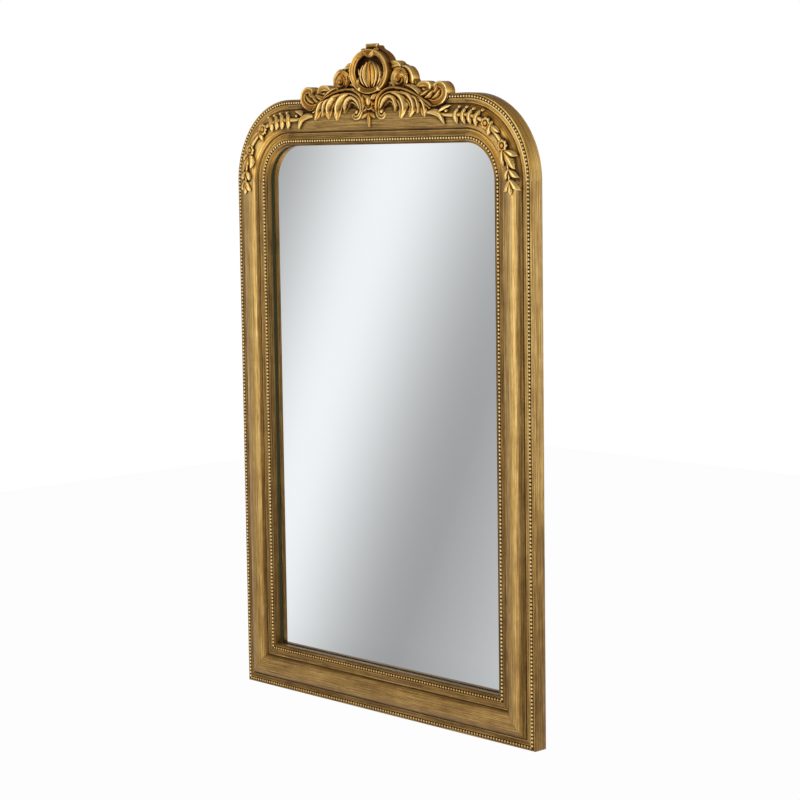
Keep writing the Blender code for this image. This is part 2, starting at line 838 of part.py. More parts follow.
ring_leaf_stroke_shares = (
    (0.7, 1.1, leaf_taper_shares, [(0.093, 0.901), (0.051, 0.829), (0.004, 0.739)]),
    (0.7, 1.05, leaf_taper_shares, [(-0.093, 0.901), (-0.051, 0.829), (-0.004, 0.739)]),
)
folds = crest_carving("ring_folds", ring_leaf_stroke_shares, leaf_breadth, ring_proud, fold_floor)
cut(fuse(crest_ring, [folds]), slab_seat)

# The palmette in the ring's opening: a bud between three ribs and a curled leaf on either side
palmette_half_shares = (
    (0.43, 0.96, leaf_taper_shares, [
        (0.008, 0.153), (0.055, 0.279), (0.068, 0.432), (0.051, 0.586), (0.025, 0.676),
    ]),
    (0.45, 0.9, leaf_taper_shares, [
        (0.017, 0.153), (0.089, 0.279), (0.105, 0.441), (0.084, 0.595), (0.055, 0.667),
    ]),
    (0.43, 0.8, leaf_taper_shares, [
        (0.03, 0.162), (0.118, 0.288), (0.135, 0.441), (0.118, 0.55), (0.093, 0.613),
    ]),
    (0.53, 0.75, leaf_taper_shares, [(0.017, 0.18), (0.084, 0.162), (0.139, 0.243), (0.131, 0.324)]),
)
palmette_stroke_shares = [(1.33, 1.05, almond_taper_shares, [(0.0, 0.135), (0.0, 0.378), (0.0, 0.622)])]
for breadth_share, proud_share, taper, share_points in palmette_half_shares:
    for hand in (-1, 1):
        points = [(hand * x, z) for x, z in share_points]
        palmette_stroke_shares.append((breadth_share, proud_share, taper, points))
palmette = crest_carving(
    "crest_palmette", palmette_stroke_shares, leaf_breadth, palmette_proud, ornament_floor, gilt_relief, parts
)
cut(palmette, ring_surround, slab_seat)

# The roll along the top
roll_height = frame_height + crest_rise - roll_radius
roll_points = [(-roll_length / 2, roll_height), (0, roll_height), (roll_length / 2, roll_height)]
roll_ridge = (roll_points, roll_radius * 2, (1, 1), roll_proud, leaf_lift, ornament_floor)
top_roll = carving("top_roll", [roll_ridge], gilt_relief, parts)
cut(top_roll, slab_seat)

# Either side: a scrolling acanthus over the moulding, a rose, and a wing of leaves behind them
acanthus_stroke_shares = (
    (0.95, 1.0, scroll_taper_shares, [
        (0.211, -0.333), (0.177, -0.396), (0.131, -0.36), (0.11, -0.207), (0.135, -0.027), (0.224, 0.081),
        (0.338, 0.099), (0.46, 0.054), (0.574, -0.027), (0.692, -0.117), (0.789, -0.243),
    ]),
    (1.0, 0.93, leaf_taper_shares, [
        (0.131, -0.216), (0.203, -0.099), (0.266, -0.045), (0.321, -0.126), (0.329, -0.288),
    ]),
    (1.4, 0.97, lobe_taper_shares, [(0.304, 0.06), (0.384, -0.036), (0.43, -0.207), (0.426, -0.432)]),
    (1.25, 0.95, lobe_taper_shares, [(0.414, 0.05), (0.502, -0.045), (0.549, -0.198), (0.527, -0.387)]),
    (0.95, 0.93, lobe_taper_shares, [(0.532, -0.01), (0.599, -0.117), (0.624, -0.342)]),
    (1.2, 0.91, lobe_taper_shares, [(0.6, -0.055), (0.675, -0.163), (0.717, -0.414)]),
)
wing_stroke_shares = (
    (0.9, 0.75, scroll_taper_shares, [
        (0.236, 0.243), (0.304, 0.216), (0.439, 0.153), (0.574, 0.081), (0.709, -0.02), (0.827, -0.095),
        (0.911, -0.065), (0.954, 0.045), (0.924, 0.144), (0.865, 0.162), (0.802, 0.153),
    ]),
    (1.0, 0.72, leaf_taper_shares, [
        (0.198, 0.378), (0.224, 0.495), (0.283, 0.568), (0.354, 0.586), (0.405, 0.541),
    ]),
    (1.45, 0.8, leaf_taper_shares, [(0.363, 0.423), (0.46, 0.432), (0.527, 0.333), (0.578, 0.171)]),
    (0.75, 0.85, scroll_taper_shares, [
        (0.498, 0.09), (0.565, 0.153), (0.641, 0.189), (0.709, 0.18), (0.73, 0.117), (0.692, 0.081),
    ]),
    (0.8, 1.0, leaf_taper_shares, [(0.658, 0.099), (0.743, 0.045), (0.819, -0.04)]),
)
wing_pad_shares = [
    (0.21, 0.3), (0.23, 0.5), (0.3, 0.57), (0.37, 0.55), (0.45, 0.425), (0.52, 0.29), (0.575, 0.165),
    (0.65, 0.16), (0.71, 0.12), (0.74, 0.02), (0.7, 0), (0.57, 0.1), (0.44, 0.17), (0.3, 0.23),
]
rose_place_share = (0.381, 0.342)
rose_start_share = 0.8
rose_end_share = 0.26
rose_dome_share = 0.72
rose_rim_share = 0.5
rose_turns = 1.35
rose_points = 12
rose_x, rose_z = on_crest(rose_place_share)
rose_floor = rose_pad_proud + fit_gap

acanthus = crest_carving(
    "right_acanthus", acanthus_stroke_shares, leaf_breadth, acanthus_proud, ornament_floor, gilt_relief, parts
)
rose = turned(
    "right_rose",
    [
        (0, rose_proud * rose_dome_share),
        (rose_radius, rose_proud * rose_rim_share),
        (rose_radius, rose_floor),
        (0, rose_floor),
    ],
    (rose_x, 0, rose_z),
    gilt_relief,
    parts,
    to_wall=False,
    steps=round_steps * 2,
)
curl = []
for rose_step in range(rose_points + 1):
    turn_share = rose_step / rose_points
    rose_angle = pi / 2 + 2 * pi * rose_turns * turn_share
    rose_reach = rose_radius * (rose_start_share + (rose_end_share - rose_start_share) * turn_share)
    curl.append((rose_x + rose_reach * cos(rose_angle), rose_z + rose_reach * sin(rose_angle)))
petal = carving("rose_petal", [(curl, rose_band, leaf_taper_shares, rose_proud, 0, -rose_floor - fit_gap)])
frozen(fuse(rose, [petal]))
rose_space_radius = rose_radius + fit_gap
rose_space = turned(
    "rose_space",
    [(0, box_front), (rose_space_radius, box_front), (rose_space_radius, rose_pad_proud), (0, rose_pad_proud)],
    (rose_x, 0, rose_z),
    to_wall=False,
    steps=round_steps * 2,
)
frozen(cut(acanthus, rose_space, slab_seat, moulding_seat))
mirrored(acanthus, "left_acanthus")

wing_pad_maker = bmesh.new()
wing_pad_face = wing_pad_maker.faces.new(
    [wing_pad_maker.verts.new((x, ornament_floor, z)) for x, z in map(on_crest, wing_pad_shares)]
)
pad_rise = rose_pad_proud - fit_gap
extrude_to(wing_pad_maker, wing_pad_face, lambda co: Vector((co.x, -pad_rise, co.z)))
wing_pad = object_from("wing_pad", wing_pad_maker, None, cutters)
crown_breadth_share, _, crown_taper, crown_share_points = acanthus_stroke_shares[0]
crown_points = [on_crest(point) for point in crown_share_points]
crown_breadth = leaf_breadth * crown_breadth_share + crown_margin
crown_space = carving("crown_space", [(crown_points, crown_breadth, crown_taper, crest_rise, 0, crest_rise)])
wing = crest_carving(
    "right_wing", wing_stroke_shares, leaf_breadth, wing_proud, ornament_floor, gilt_relief, parts
)
frozen(cut(fuse(wing, [wing_pad]), rose_space, ring_space, crown_space))
frozen(cut(wing, slab_seat, moulding_seat))
mirrored(wing, "left_wing")

# The rose's own place is moved into its mesh, so that it mirrors about the middle
rose.data.transform(rose.matrix_local)
rose.location = (0, 0, 0)
rose.rotation_euler = (0, 0, 0)
mirrored(rose, "left_rose")

# The boss under the ring, and the husk that hangs from it
boss_place_share = -0.133
boss_steps = 4
boss_x, boss_z = on_crest((0, boss_place_share))
boss_profile = []
for boss_step in range(boss_steps + 1):
    boss_angle = pi / 2 * boss_step / boss_steps
    boss_profile.append((boss_radius * sin(boss_angle), boss_proud - boss_radius * (1 - cos(boss_angle))))
boss_profile += [(boss_radius, -ornament_floor), (0, -ornament_floor)]
crest_boss = turned("crest_boss", boss_profile, (boss_x, 0, boss_z), gilt_relief, parts, to_wall=False)
boss_leaf_stroke_shares = (
    (0.6, 0.78, leaf_taper_shares, [(0.008, -0.108), (0.045, -0.02), (0.082, 0.012)]),
    (0.6, 0.76, leaf_taper_shares, [(-0.008, -0.108), (-0.045, -0.02), (-0.082, 0.012)]),
    (0.55, 0.74, leaf_taper_shares, [(0.008, -0.153), (0.038, -0.235), (0.076, -0.275)]),
    (0.55, 0.72, leaf_taper_shares, [(-0.008, -0.153), (-0.038, -0.235), (-0.076, -0.275)]),
)
boss_leaves = crest_carving("boss_leaves", boss_leaf_stroke_shares, leaf_breadth, boss_proud, ornament_floor)
cut(fuse(crest_boss, [boss_leaves]), slab_seat, moulding_seat)
husk_stroke_shares = (
    (0.75, 1.0, leaf_taper_shares, [(0, -0.297), (0, -0.432), (0, -0.586)]),
    (0.65, 0.95, leaf_taper_shares, [(0, -0.324), (0.042, -0.351), (0.089, -0.414)]),
    (0.65, 0.93, leaf_taper_shares, [(0, -0.324), (-0.042, -0.351), (-0.089, -0.414)]),
)
pendant_husk = crest_carving(
    "pendant_husk", husk_stroke_shares, leaf_breadth, husk_proud, ornament_floor, gilt_relief, parts
)
cut(pendant_husk, moulding_seat)

# Corner garlands on the torus: a stem with leaves, and two rosettes on pads
garland_stroke_shares = (
    (0.55, wire_taper_shares, [
        (0.922, 0.38), (0.766, 0.16), (0.609, 0.1), (0.454, 0.12), (0.298, 0.13), (0.152, 0.15),
        (0.003, 0.16), (-0.156, 0.2), (-0.287, 0.14), (-0.423, 0.06), (-0.555, 0.1),
    ]),
    (1.0, leaf_taper_shares, [(0.875, 0.32), (0.789, -0.03), (0.731, -0.63)]),
    (0.8, leaf_taper_shares, [(0.836, 0.26), (0.766, 0.7), (0.672, 0.89)]),
    (1.15, leaf_taper_shares, [(0.563, 0.64), (0.586, 0.07), (0.57, -0.63)]),
    (1.15, leaf_taper_shares, [(0.463, 0.62), (0.485, 0.04), (0.458, -0.65)]),
    (1.15, leaf_taper_shares, [(0.381, 0.6), (0.395, 0.03), (0.362, -0.57)]),
    (1.2, leaf_taper_shares, [(0.285, 0.75), (0.302, 0.12), (0.28, -0.55)]),
    (1.15, leaf_taper_shares, [(0.107, 0.6), (0.095, 0.08), (0.068, -0.56)]),
    (1.0, leaf_taper_shares, [(0.095, 0.24), (0.036, 0.32), (-0.028, 0.48)]),
    (1.1, leaf_taper_shares, [(-0.17, 0.14), (-0.257, -0.38), (-0.345, -0.41)]),
    (1.35, leaf_taper_shares, [(-0.208, 0.0), (-0.307, 0.25), (-0.403, 0.63)]),
    (1.0, leaf_taper_shares, [(-0.215, 0.18), (-0.27, 0.66), (-0.298, 0.98)]),
    (1.0, leaf_taper_shares, [(-0.396, 0.09), (-0.438, -0.22), (-0.491, -0.37)]),
    (1.0, leaf_taper_shares, [(-0.401, 0.12), (-0.447, 0.48), (-0.478, 0.87)]),
    (1.1, leaf_taper_shares, [(-0.501, 0.13), (-0.567, -0.15), (-0.617, -0.5)]),
    (1.1, leaf_taper_shares, [(-0.5, 0.1), (-0.559, 0.58), (-0.594, 0.98)]),
    (1.0, leaf_taper_shares, [(-0.516, 0.1), (-0.582, 0.13), (-0.645, 0.19)]),
)
rosette_shape_shares = ((0, 1), (0.26, 0.9), (0.34, 0.45), (0.8, 0.72), (1, 0.4))
rosette_pad_share = 0.85
garland_stem_lift_share = 0.75
garland_leaf_fall_share = 0.015
pad_front = torus_rise + leaf_lift / 2
space_top = box_front + cut_overrun
rosette_floor = pad_front + fit_gap


def along_torus(along, across):
    # From the middle of the right-hand corner: along the torus towards the crest, and across it outwards
    radius = corner_radius - torus_line
    quarter = radius * pi / 4
    reach = radius + across
    if along > quarter:
        return (arc_centre_x - along + quarter, arc_centre_z + reach)
    if along < -quarter:
        return (arc_centre_x + reach, arc_centre_z + along + quarter)
    angle = pi / 4 + along / radius
    return (arc_centre_x + reach * cos(angle), arc_centre_z + reach * sin(angle))


garland_ridges = []
for number, (breadth_share, taper, share_points) in enumerate(garland_stroke_shares):
    points = [along_torus(garland_reach * along, torus_width / 2 * across) for along, across in share_points]
    leaves_left = len(garland_stroke_shares) - number
    lift = garland_lift * (garland_stem_lift_share + garland_leaf_fall_share * leaves_left)
    depth = ornament_floor + root_step * number
    garland_ridges.append((points, garland_leaf_breadth * breadth_share, taper, 0, lift, depth))
garland = carving("right_garland", garland_ridges, gilt_relief, parts)
rosette_front = [
    (rosette_radius * reach, rosette_floor + (rosette_proud - rosette_floor) * rise)
    for reach, rise in rosette_shape_shares
]
rosette_profile = [*rosette_front, (rosette_radius, rosette_floor), (0, rosette_floor)]
rosette_space_radius = rosette_radius + fit_gap
rosette_pad_radius = rosette_radius * rosette_pad_share
spaces = []
for along, word in ((rosette_place, "upper"), (-rosette_place, "lower")):
    rosette_x, rosette_z = along_torus(along, rosette_shift)
    spot = (rosette_x, 0, rosette_z)
    rosette_pad = turned(
        f"{word}_rosette_pad",
        [(0, box_front), (rosette_pad_radius, box_front), (rosette_pad_radius, 0), (0, 0)],
        spot,
        to_wall=False,
    )
    fuse(garland, [rosette_pad])
    spaces.append(
        turned(
            f"{word}_rosette_space",
            [(0, space_top), (rosette_space_radius, space_top), (rosette_space_radius, pad_front), (0, pad_front)],
            spot,
            to_wall=False,
        )
    )
    for side, hand in ((-1, "left"), (1, "right")):
        spot = (side * rosette_x, 0, rosette_z)
        turned(f"{hand}_{word}_rosette", rosette_profile, spot, gilt_relief, parts, to_wall=False)
frozen(cut(garland, *spaces, moulding_seat))
mirrored(garland, "left_garland")
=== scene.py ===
from math import cos, hypot, pi, sin, sqrt

import bmesh
import bpy
import numpy as np
from mathutils import Matrix, Vector


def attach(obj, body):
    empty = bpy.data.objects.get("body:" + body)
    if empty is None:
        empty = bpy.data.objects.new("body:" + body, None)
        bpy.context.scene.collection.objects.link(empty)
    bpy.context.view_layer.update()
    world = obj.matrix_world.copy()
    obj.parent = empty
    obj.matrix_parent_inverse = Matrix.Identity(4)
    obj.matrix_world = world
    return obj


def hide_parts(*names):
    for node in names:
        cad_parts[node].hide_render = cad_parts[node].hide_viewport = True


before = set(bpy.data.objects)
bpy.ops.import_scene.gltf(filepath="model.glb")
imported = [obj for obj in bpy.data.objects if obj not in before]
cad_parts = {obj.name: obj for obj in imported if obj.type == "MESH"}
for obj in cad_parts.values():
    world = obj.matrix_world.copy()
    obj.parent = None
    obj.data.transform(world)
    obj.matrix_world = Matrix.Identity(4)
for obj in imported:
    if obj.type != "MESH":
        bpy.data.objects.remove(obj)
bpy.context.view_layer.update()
print("frame loaded:", len(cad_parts), "nodes")

# Metres. The bead rows stand in one plane: depths behind it and fronts before it are measured from there
outline = {"width": 0.914, "height": 1.345, "cornerRadius": 0.181, "depth": 0.034, "beadPlane": -0.01175}
gap = 0.0003  # between pieces
hairline = 0.00005  # at the joints in the arch
slabFront = -0.0015  # of the slab that carries the crest
halfWidth = outline["width"] / 2
top = outline["height"]
arcX = halfWidth - outline["cornerRadius"]  # the middle of a corner's arc
arcZ = top - outline["cornerRadius"]


def operator(operation, turned=False):
    def apply(self, other):
        first, second = (other, self) if turned else (self, other)
        return self.finish.maths(operation, first, second)
    return apply


class Sock:  # one node output, so that shader maths reads as plain expressions
    def __init__(self, finish, socket):
        self.finish = finish
        self.socket = socket

    __add__, __radd__ = operator("ADD"), operator("ADD", True)
    __sub__, __rsub__ = operator("SUBTRACT"), operator("SUBTRACT", True)
    __mul__, __rmul__ = operator("MULTIPLY"), operator("MULTIPLY", True)
    __truediv__, __rtruediv__ = operator("DIVIDE"), operator("DIVIDE", True)
    __pow__, __rpow__ = operator("POWER"), operator("POWER", True)


class Finish:  # one material or world and its nodes
    def __init__(self, name, owner=None):
        self.owner = owner or bpy.data.materials.new(name)
        self.owner.use_nodes = True
        self.tree = self.owner.node_tree
        self.tree.nodes.clear()

    def node(self, kind, values=None, settings=None, output=0):
        made = self.tree.nodes.new("ShaderNode" + kind)
        for key, value in (settings or {}).items():
            if key == "stops":
                self.setStops(made.color_ramp.elements, value)
            else:
                setattr(made, key, value)
        for key, value in (values or {}).items():
            if isinstance(value, Sock):
                self.tree.links.new(value.socket, made.inputs[key])
            else:
                made.inputs[key].default_value = value
        if output is None:
            return {socket.name: Sock(self, socket) for socket in made.outputs}
        return Sock(self, made.outputs[output]) if len(made.outputs) else made

    def setStops(self, elements, stops):
        while len(elements) > 1:
            elements.remove(elements[-1])
        for number, (place, colour) in enumerate(stops):
            stop = elements[0] if number == 0 else elements.new(place)
            stop.position = place
            stop.color = (*colour, 1)

    def maths(self, operation, first, second=0.0, clamp=False):
        return self.node("Math", {0: first, 1: second}, {"operation": operation, "use_clamp": clamp})

    def clamped(self, value):
        return self.maths("ADD", value, 0.0, True)

    def ramp(self, factor, stops):
        return self.node("ValToRGB", {"Fac": factor}, {"stops": stops})

    def mixed(self, factor, first, second, blend="MIX"):  # of two colours
        settings = {"data_type": "RGBA", "blend_type": blend}
        return self.node("Mix", {0: factor, 6: first, 7: second}, settings, 2)

    def scaled(self, vector, size):
        return self.node("VectorMath", {0: vector, 1: size}, {"operation": "MULTIPLY"})

    def noise(self, vector, scale, detail, roughness):
        values = {"Vector": vector, "Scale": scale, "Detail": detail, "Roughness": roughness}
        return self.node("TexNoise", values)

    def place(self):
        return self.node("TexCoord", None, None, "Object")

    def attribute(self, name, output="Fac"):
        return self.node("Attribute", None, {"attribute_name": name}, output)

    def surface(self, values, bump=None, strength=0.2, distance=0.0005):
        if bump is not None:
            lift = {"Height": bump, "Strength": strength, "Distance": distance}
            values = {**values, "Normal": self.node("Bump", lift)}
        return self.done(self.node("BsdfPrincipled", values))

    def glow(self, colour, strength):
        return self.node("Emission", {"Color": colour, "Strength": strength})

    def done(self, shader, kind="OutputMaterial"):
        self.node(kind, {"Surface": shader})
        return self.owner


# Stops of place and colour: each gilt from its hollows to its crests, the bands' tint and the bare timber
giltColours = {
    "rail": [
        (0.0, (0.01, 0.005, 0.001)), (0.22, (0.055, 0.028, 0.008)), (0.42, (0.16, 0.085, 0.024)),
        (0.62, (0.33, 0.19, 0.057)), (0.82, (0.58, 0.375, 0.125)), (1.0, (0.82, 0.6, 0.26)),
    ],
    "corner": [
        (0.0, (0.012, 0.005, 0.001)), (0.22, (0.07, 0.032, 0.006)), (0.42, (0.226, 0.103, 0.018)),
        (0.62, (0.452, 0.222, 0.038)), (0.82, (0.716, 0.42, 0.092)), (1.0, (0.9, 0.66, 0.26)),
    ],
    "carving": [
        (0.0, (0.014, 0.004, 0.001)), (0.25, (0.08, 0.029, 0.004)), (0.45, (0.262, 0.112, 0.018)),
        (0.62, (0.5, 0.255, 0.05)), (0.8, (0.79, 0.475, 0.12)), (1.0, (1.0, 0.735, 0.3)),
    ],
    "bead": [
        (0.0, (0.012, 0.005, 0.001)), (0.25, (0.07, 0.034, 0.008)), (0.45, (0.245, 0.125, 0.034)),
        (0.62, (0.49, 0.285, 0.088)), (0.8, (0.79, 0.54, 0.21)), (1.0, (1.0, 0.82, 0.44)),
    ],
    "tint": [
        (0.3, (0.96, 0.9, 1.02)), (0.42, (1.0, 1.0, 1.0)), (0.6, (1.0, 0.97, 0.86)),
        (0.72, (1.0, 0.91, 0.66)),
    ],
    "timber": [(0.3, (0.085, 0.05, 0.026)), (0.7, (0.15, 0.092, 0.05))],
}
# Noise scales are per metre, those of brush, hairs and bands along and across the piece
gilding = {
    "brush": (7.0, 420.0, 1.0), "hairs": (40.0, 2600.0, 1.0), "bands": (3.0, 170.0, 1.0),
    "blotch": 26.0, "speck": 420.0, "metal": (0.45, 0.4), "rough": (0.46, -0.14, 0.12),
    "lift": (0.5, 0.3, 0.4), "bump": 0.25, "bumpHeight": 0.0006, "specular": 0.2,
}


def giltFinish(name, stops, streaks, mottle, warmer=None):
    f = Finish(name)
    run = f.attribute("run", "Vector")  # metres along the piece and across it
    place = f.place()
    bare = f.attribute("bare")
    brushed = f.noise(f.scaled(run, gilding["brush"]), 1.0, 4.0, 0.6)
    hairs = f.noise(f.scaled(run, gilding["hairs"]), 1.0, 2.0, 0.5)
    bands = f.noise(f.scaled(run, gilding["bands"]), 1.0, 3.0, 0.5)
    blotch = f.noise(place, gilding["blotch"], 4.0, 0.6)
    speck = f.noise(place, gilding["speck"], 2.0, 0.6)
    streaked = (brushed - 0.5) * streaks + (hairs - 0.5) * (streaks * 0.6)
    mottled = (blotch - 0.5) * mottle + (speck - 0.5) * (mottle * 0.5)
    # The relief brings painted shade and painted highlight beside the gilt's patina; streaks and mottle are
    # the gilt's own
    giltAndPaintedLight = f.clamped(f.attribute("relief") + streaked + mottled)
    colour = f.ramp(giltAndPaintedLight, stops)
    if warmer:
        colour = f.mixed(f.attribute("warm"), colour, f.ramp(giltAndPaintedLight, warmer))
    colour = f.mixed(1.0, colour, f.ramp(bands, giltColours["tint"]), "MULTIPLY")
    colour = f.mixed(bare, colour, f.ramp(brushed, giltColours["timber"]))
    least, shine = gilding["metal"]
    matt, polish, dust = gilding["rough"]
    look = {
        "Base Color": colour, "Metallic": f.clamped((least + giltAndPaintedLight * shine) * (1.0 - bare)),
        "Roughness": matt + giltAndPaintedLight * polish + (speck - 0.5) * dust, "Specular IOR Level": gilding["specular"],
    }
    brushLift, hairLift, speckLift = gilding["lift"]
    height = brushed * brushLift + hairs * hairLift + speck * speckLift
    return f.surface(look, height, gilding["bump"], gilding["bumpHeight"])


# Two colours, grain per metre, metal, roughness, and where they differ the bump and the grain's stretch
plainLooks = {
    "raw_timber": ((0.55, 0.4, 0.25), (0.36, 0.24, 0.13), 60.0, 0.0, 0.75, 0.3, (1.0, 8.0, 8.0)),
    # The gasket's near black also stands for the shade and the dark reflection of the lip's back in the
    # glass: partly painted shade
    "dark_gasket": ((0.034, 0.031, 0.007), (0.056, 0.05, 0.014), 300.0, 0.0, 0.7),
    "packing_card": ((0.4, 0.3, 0.2), (0.32, 0.23, 0.15), 500.0, 0.0, 0.9),
    "backing_board": ((0.3, 0.2, 0.12), (0.2, 0.13, 0.075), 90.0, 0.0, 0.85, 0.25, (1.0, 1.0, 6.0)),
    "zinc_steel": ((0.62, 0.62, 0.6), (0.46, 0.46, 0.45), 220.0, 1.0, 0.35),
    "bumper_rubber": ((0.035, 0.035, 0.035), (0.055, 0.055, 0.055), 600.0, 0.0, 0.75),
}


def plainFinish(name, colour, shade, scale, metal, rough, bump=0.2, stretch=(1.0, 1.0, 1.0)):
    f = Finish(name)
    grain = f.noise(f.scaled(f.place(), stretch), scale, 5.0, 0.6)
    tint = f.mixed(grain, (*colour, 1), (*shade, 1))
    look = {"Base Color": tint, "Metallic": metal, "Roughness": rough + (grain - 0.5) * 0.2}
    return f.surface(look, grain, bump)


def silverFinish(name):
    f = Finish(name)
    haze = f.noise(f.place(), 3.0, 2.0, 0.5)
    tint = f.mixed(haze, (0.885, 0.905, 0.915, 1), (0.905, 0.925, 0.93, 1))
    return f.surface({"Base Color": tint, "Metallic": 1.0, "Roughness": 0.012})


finishes = {
    "antique_gilt": giltFinish("antique_gilt", giltColours["rail"], 1.25, 0.26, giltColours["corner"]),
    "bright_gilt": giltFinish("bright_gilt", giltColours["carving"], 0.12, 0.2),
    "bead_gilt": giltFinish("bead_gilt", giltColours["bead"], 0.1, 0.16),
    "silvered_glass": silverFinish("silvered_glass"),
}
for name, look in plainLooks.items():
    finishes[name] = plainFinish(name, *look)
print("finishes made:", len(finishes))


# A shape holds points and faces, and for each point its tone, its run along and across, and bare timber
# The tone runs from dark in hollows to light on crests: the gilt's patina together with painted shade and
# painted highlight
def newShape():
    return {"points": [], "faces": [], "relief": [], "run": [], "bare": []}


def lengths(points):
    # Running length along a line of points
    return np.r_[0, np.cumsum(np.linalg.norm(np.diff(points, axis=0), axis=1))]


def addSkin(shape, rows, relief, bare=0.0, start=0.0, caps=True):
    # Closed rows of points, one at each station. relief and bare hold one value, or one per point of a row
    rows = np.asarray(rows, float)
    count, width = rows.shape[:2]
    first = len(shape["points"])
    along = lengths(rows.mean(1)) + start
    across = lengths(rows[0])
    shape["points"].extend(map(tuple, rows.reshape(-1, 3)))
    shape["relief"].extend(np.broadcast_to(relief, (count, width)).reshape(-1))
    shape["bare"].extend(np.broadcast_to(bare, (count, width)).reshape(-1))
    shape["run"].extend((a, c, 0.0) for a in along for c in across)
    for i in range(count - 1):
        a = first + i * width
        b = a + width
        for j in range(width):
            k = (j + 1) % width
            shape["faces"].append((a + j, a + k, b + k, b + j))
    if caps:
        shape["faces"].append(tuple(first + j for j in reversed(range(width))))
        shape["faces"].append(tuple(first + (count - 1) * width + j for j in range(width)))


def outwards(mesh):
    # Every closed shell faces out
    maker = bmesh.new()
    maker.from_mesh(mesh)
    bmesh.ops.recalc_face_normals(maker, faces=maker.faces)
    maker.to_mesh(mesh)
    maker.free()


def madeObject(node, word, shape, finish, sharp=pi / 4):
    name = f"{node}_{word}"
    mesh = bpy.data.meshes.new(name)
    mesh.from_pydata(shape["points"], [], shape["faces"])
    for key in ("relief", "bare", "warm"):
        given = shape.get(key, np.zeros(len(mesh.vertices)))
        values = mesh.attributes.new(key, "FLOAT", "POINT")
        values.data.foreach_set("value", np.asarray(given, np.float32))
    run = mesh.attributes.new("run", "FLOAT_VECTOR", "POINT")
    run.data.foreach_set("vector", np.asarray(shape["run"], np.float32).reshape(-1))
    mesh.update()
    outwards(mesh)
    mesh.materials.append(finishes[finish])
    mesh.shade_smooth()
    mesh.set_sharp_from_angle(angle=sharp)
    made = bpy.data.objects.new(name, mesh)
    bpy.context.scene.collection.objects.link(made)
    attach(made, "mirror")
    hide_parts(node)


def at(x, front, z):
    return (x, outline["beadPlane"] - front, z)


def smoothPath(points, count):
    # Catmull-Rom through the points, at even steps
    given = np.asarray(points, float)
    given = np.vstack([2 * given[0] - given[1], given, 2 * given[-1] - given[-2]])
    fine = []
    for p, q, r, s in zip(given, given[1:], given[2:], given[3:]):
        for t in np.linspace(0, 1, 12, endpoint=False):
            square, cube = 2 * p - 5 * q + 4 * r - s, 3 * q - p - 3 * r + s
            fine.append((2 * q + (r - p) * t + square * t**2 + cube * t**3) / 2)
    fine = np.array([*fine, given[-2]])
    length = lengths(fine)
    steps = np.linspace(0, length[-1], count)
    return np.column_stack([np.interp(steps, length, fine[:, k]) for k in range(fine.shape[1])])


def shareAt(shares, place):
    return float(np.interp(place, np.linspace(0, 1, len(shares)), shares))


# The moulding's section: distances inward from the outer edge, and heights and depths from the bead plane
moulding = {
    "width": 0.1015, "outerBeads": 0.0073, "innerBeads": 0.0913, "grooveHalf": 0.0036,
    "grooveDepth": 0.0022, "outerFillet": 0.0008, "innerFillet": 0.0009, "filletFlat": 0.003,
    "torusStart": 0.0223, "torusEnd": 0.0728, "torusRise": 0.012, "quirkWidth": 0.0014,
    "quirkDepth": 0.001, "lipDepth": 0.0125, "rebateLine": 0.0925, "boardSeat": 0.0288,
    "boardLine": 0.0755, "torusSteps": 44, "torusTone": (0.32, 0.42), "arcSteps": 44, "roundSteps": 4,
}
torusLine = (moulding["torusStart"] + moulding["torusEnd"]) / 2
torusHalf = (moulding["torusEnd"] - moulding["torusStart"]) / 2
torusTall = moulding["torusRise"] + moulding["quirkDepth"]


def torusHeight(inward):
    across = (inward - torusLine) / torusHalf
    return torusTall * sqrt(1 - across**2) - moulding["quirkDepth"] if abs(across) < 1 else 0.0


def inwardAt(x, z):
    beyondX = abs(x) - arcX
    beyondZ = z - arcZ
    if beyondX > 0 and beyondZ > 0:
        return outline["cornerRadius"] - hypot(beyondX, beyondZ)
    return outline["cornerRadius"] - max(beyondX, beyondZ)


def seatHeight(x, z):
    # How far before the bead plane the carving is seated
    inward = inwardAt(x, z)
    return max(0.0, torusHeight(inward)) if inward > 0 else slabFront


def roundedCorners(corners):
    # (inward, depth, radius, tone, bare) corners to a fine closed section without the radius
    done = []
    for number, (x, y, radius, tone, bare) in enumerate(corners):
        if radius == 0:
            done.append((x, y, tone, bare))
            continue
        here = Vector((x, y))
        before = Vector(corners[number - 1][:2]) - here
        after = Vector(corners[(number + 1) % len(corners)][:2]) - here
        start = here + before.normalized() * radius
        end = here + after.normalized() * radius
        for step in range(moulding["roundSteps"] + 1):
            t = step / moulding["roundSteps"]
            spot = start * (1 - t) ** 2 + here * 2 * t * (1 - t) + end * t**2
            done.append((spot.x, spot.y, tone, bare))
    return done


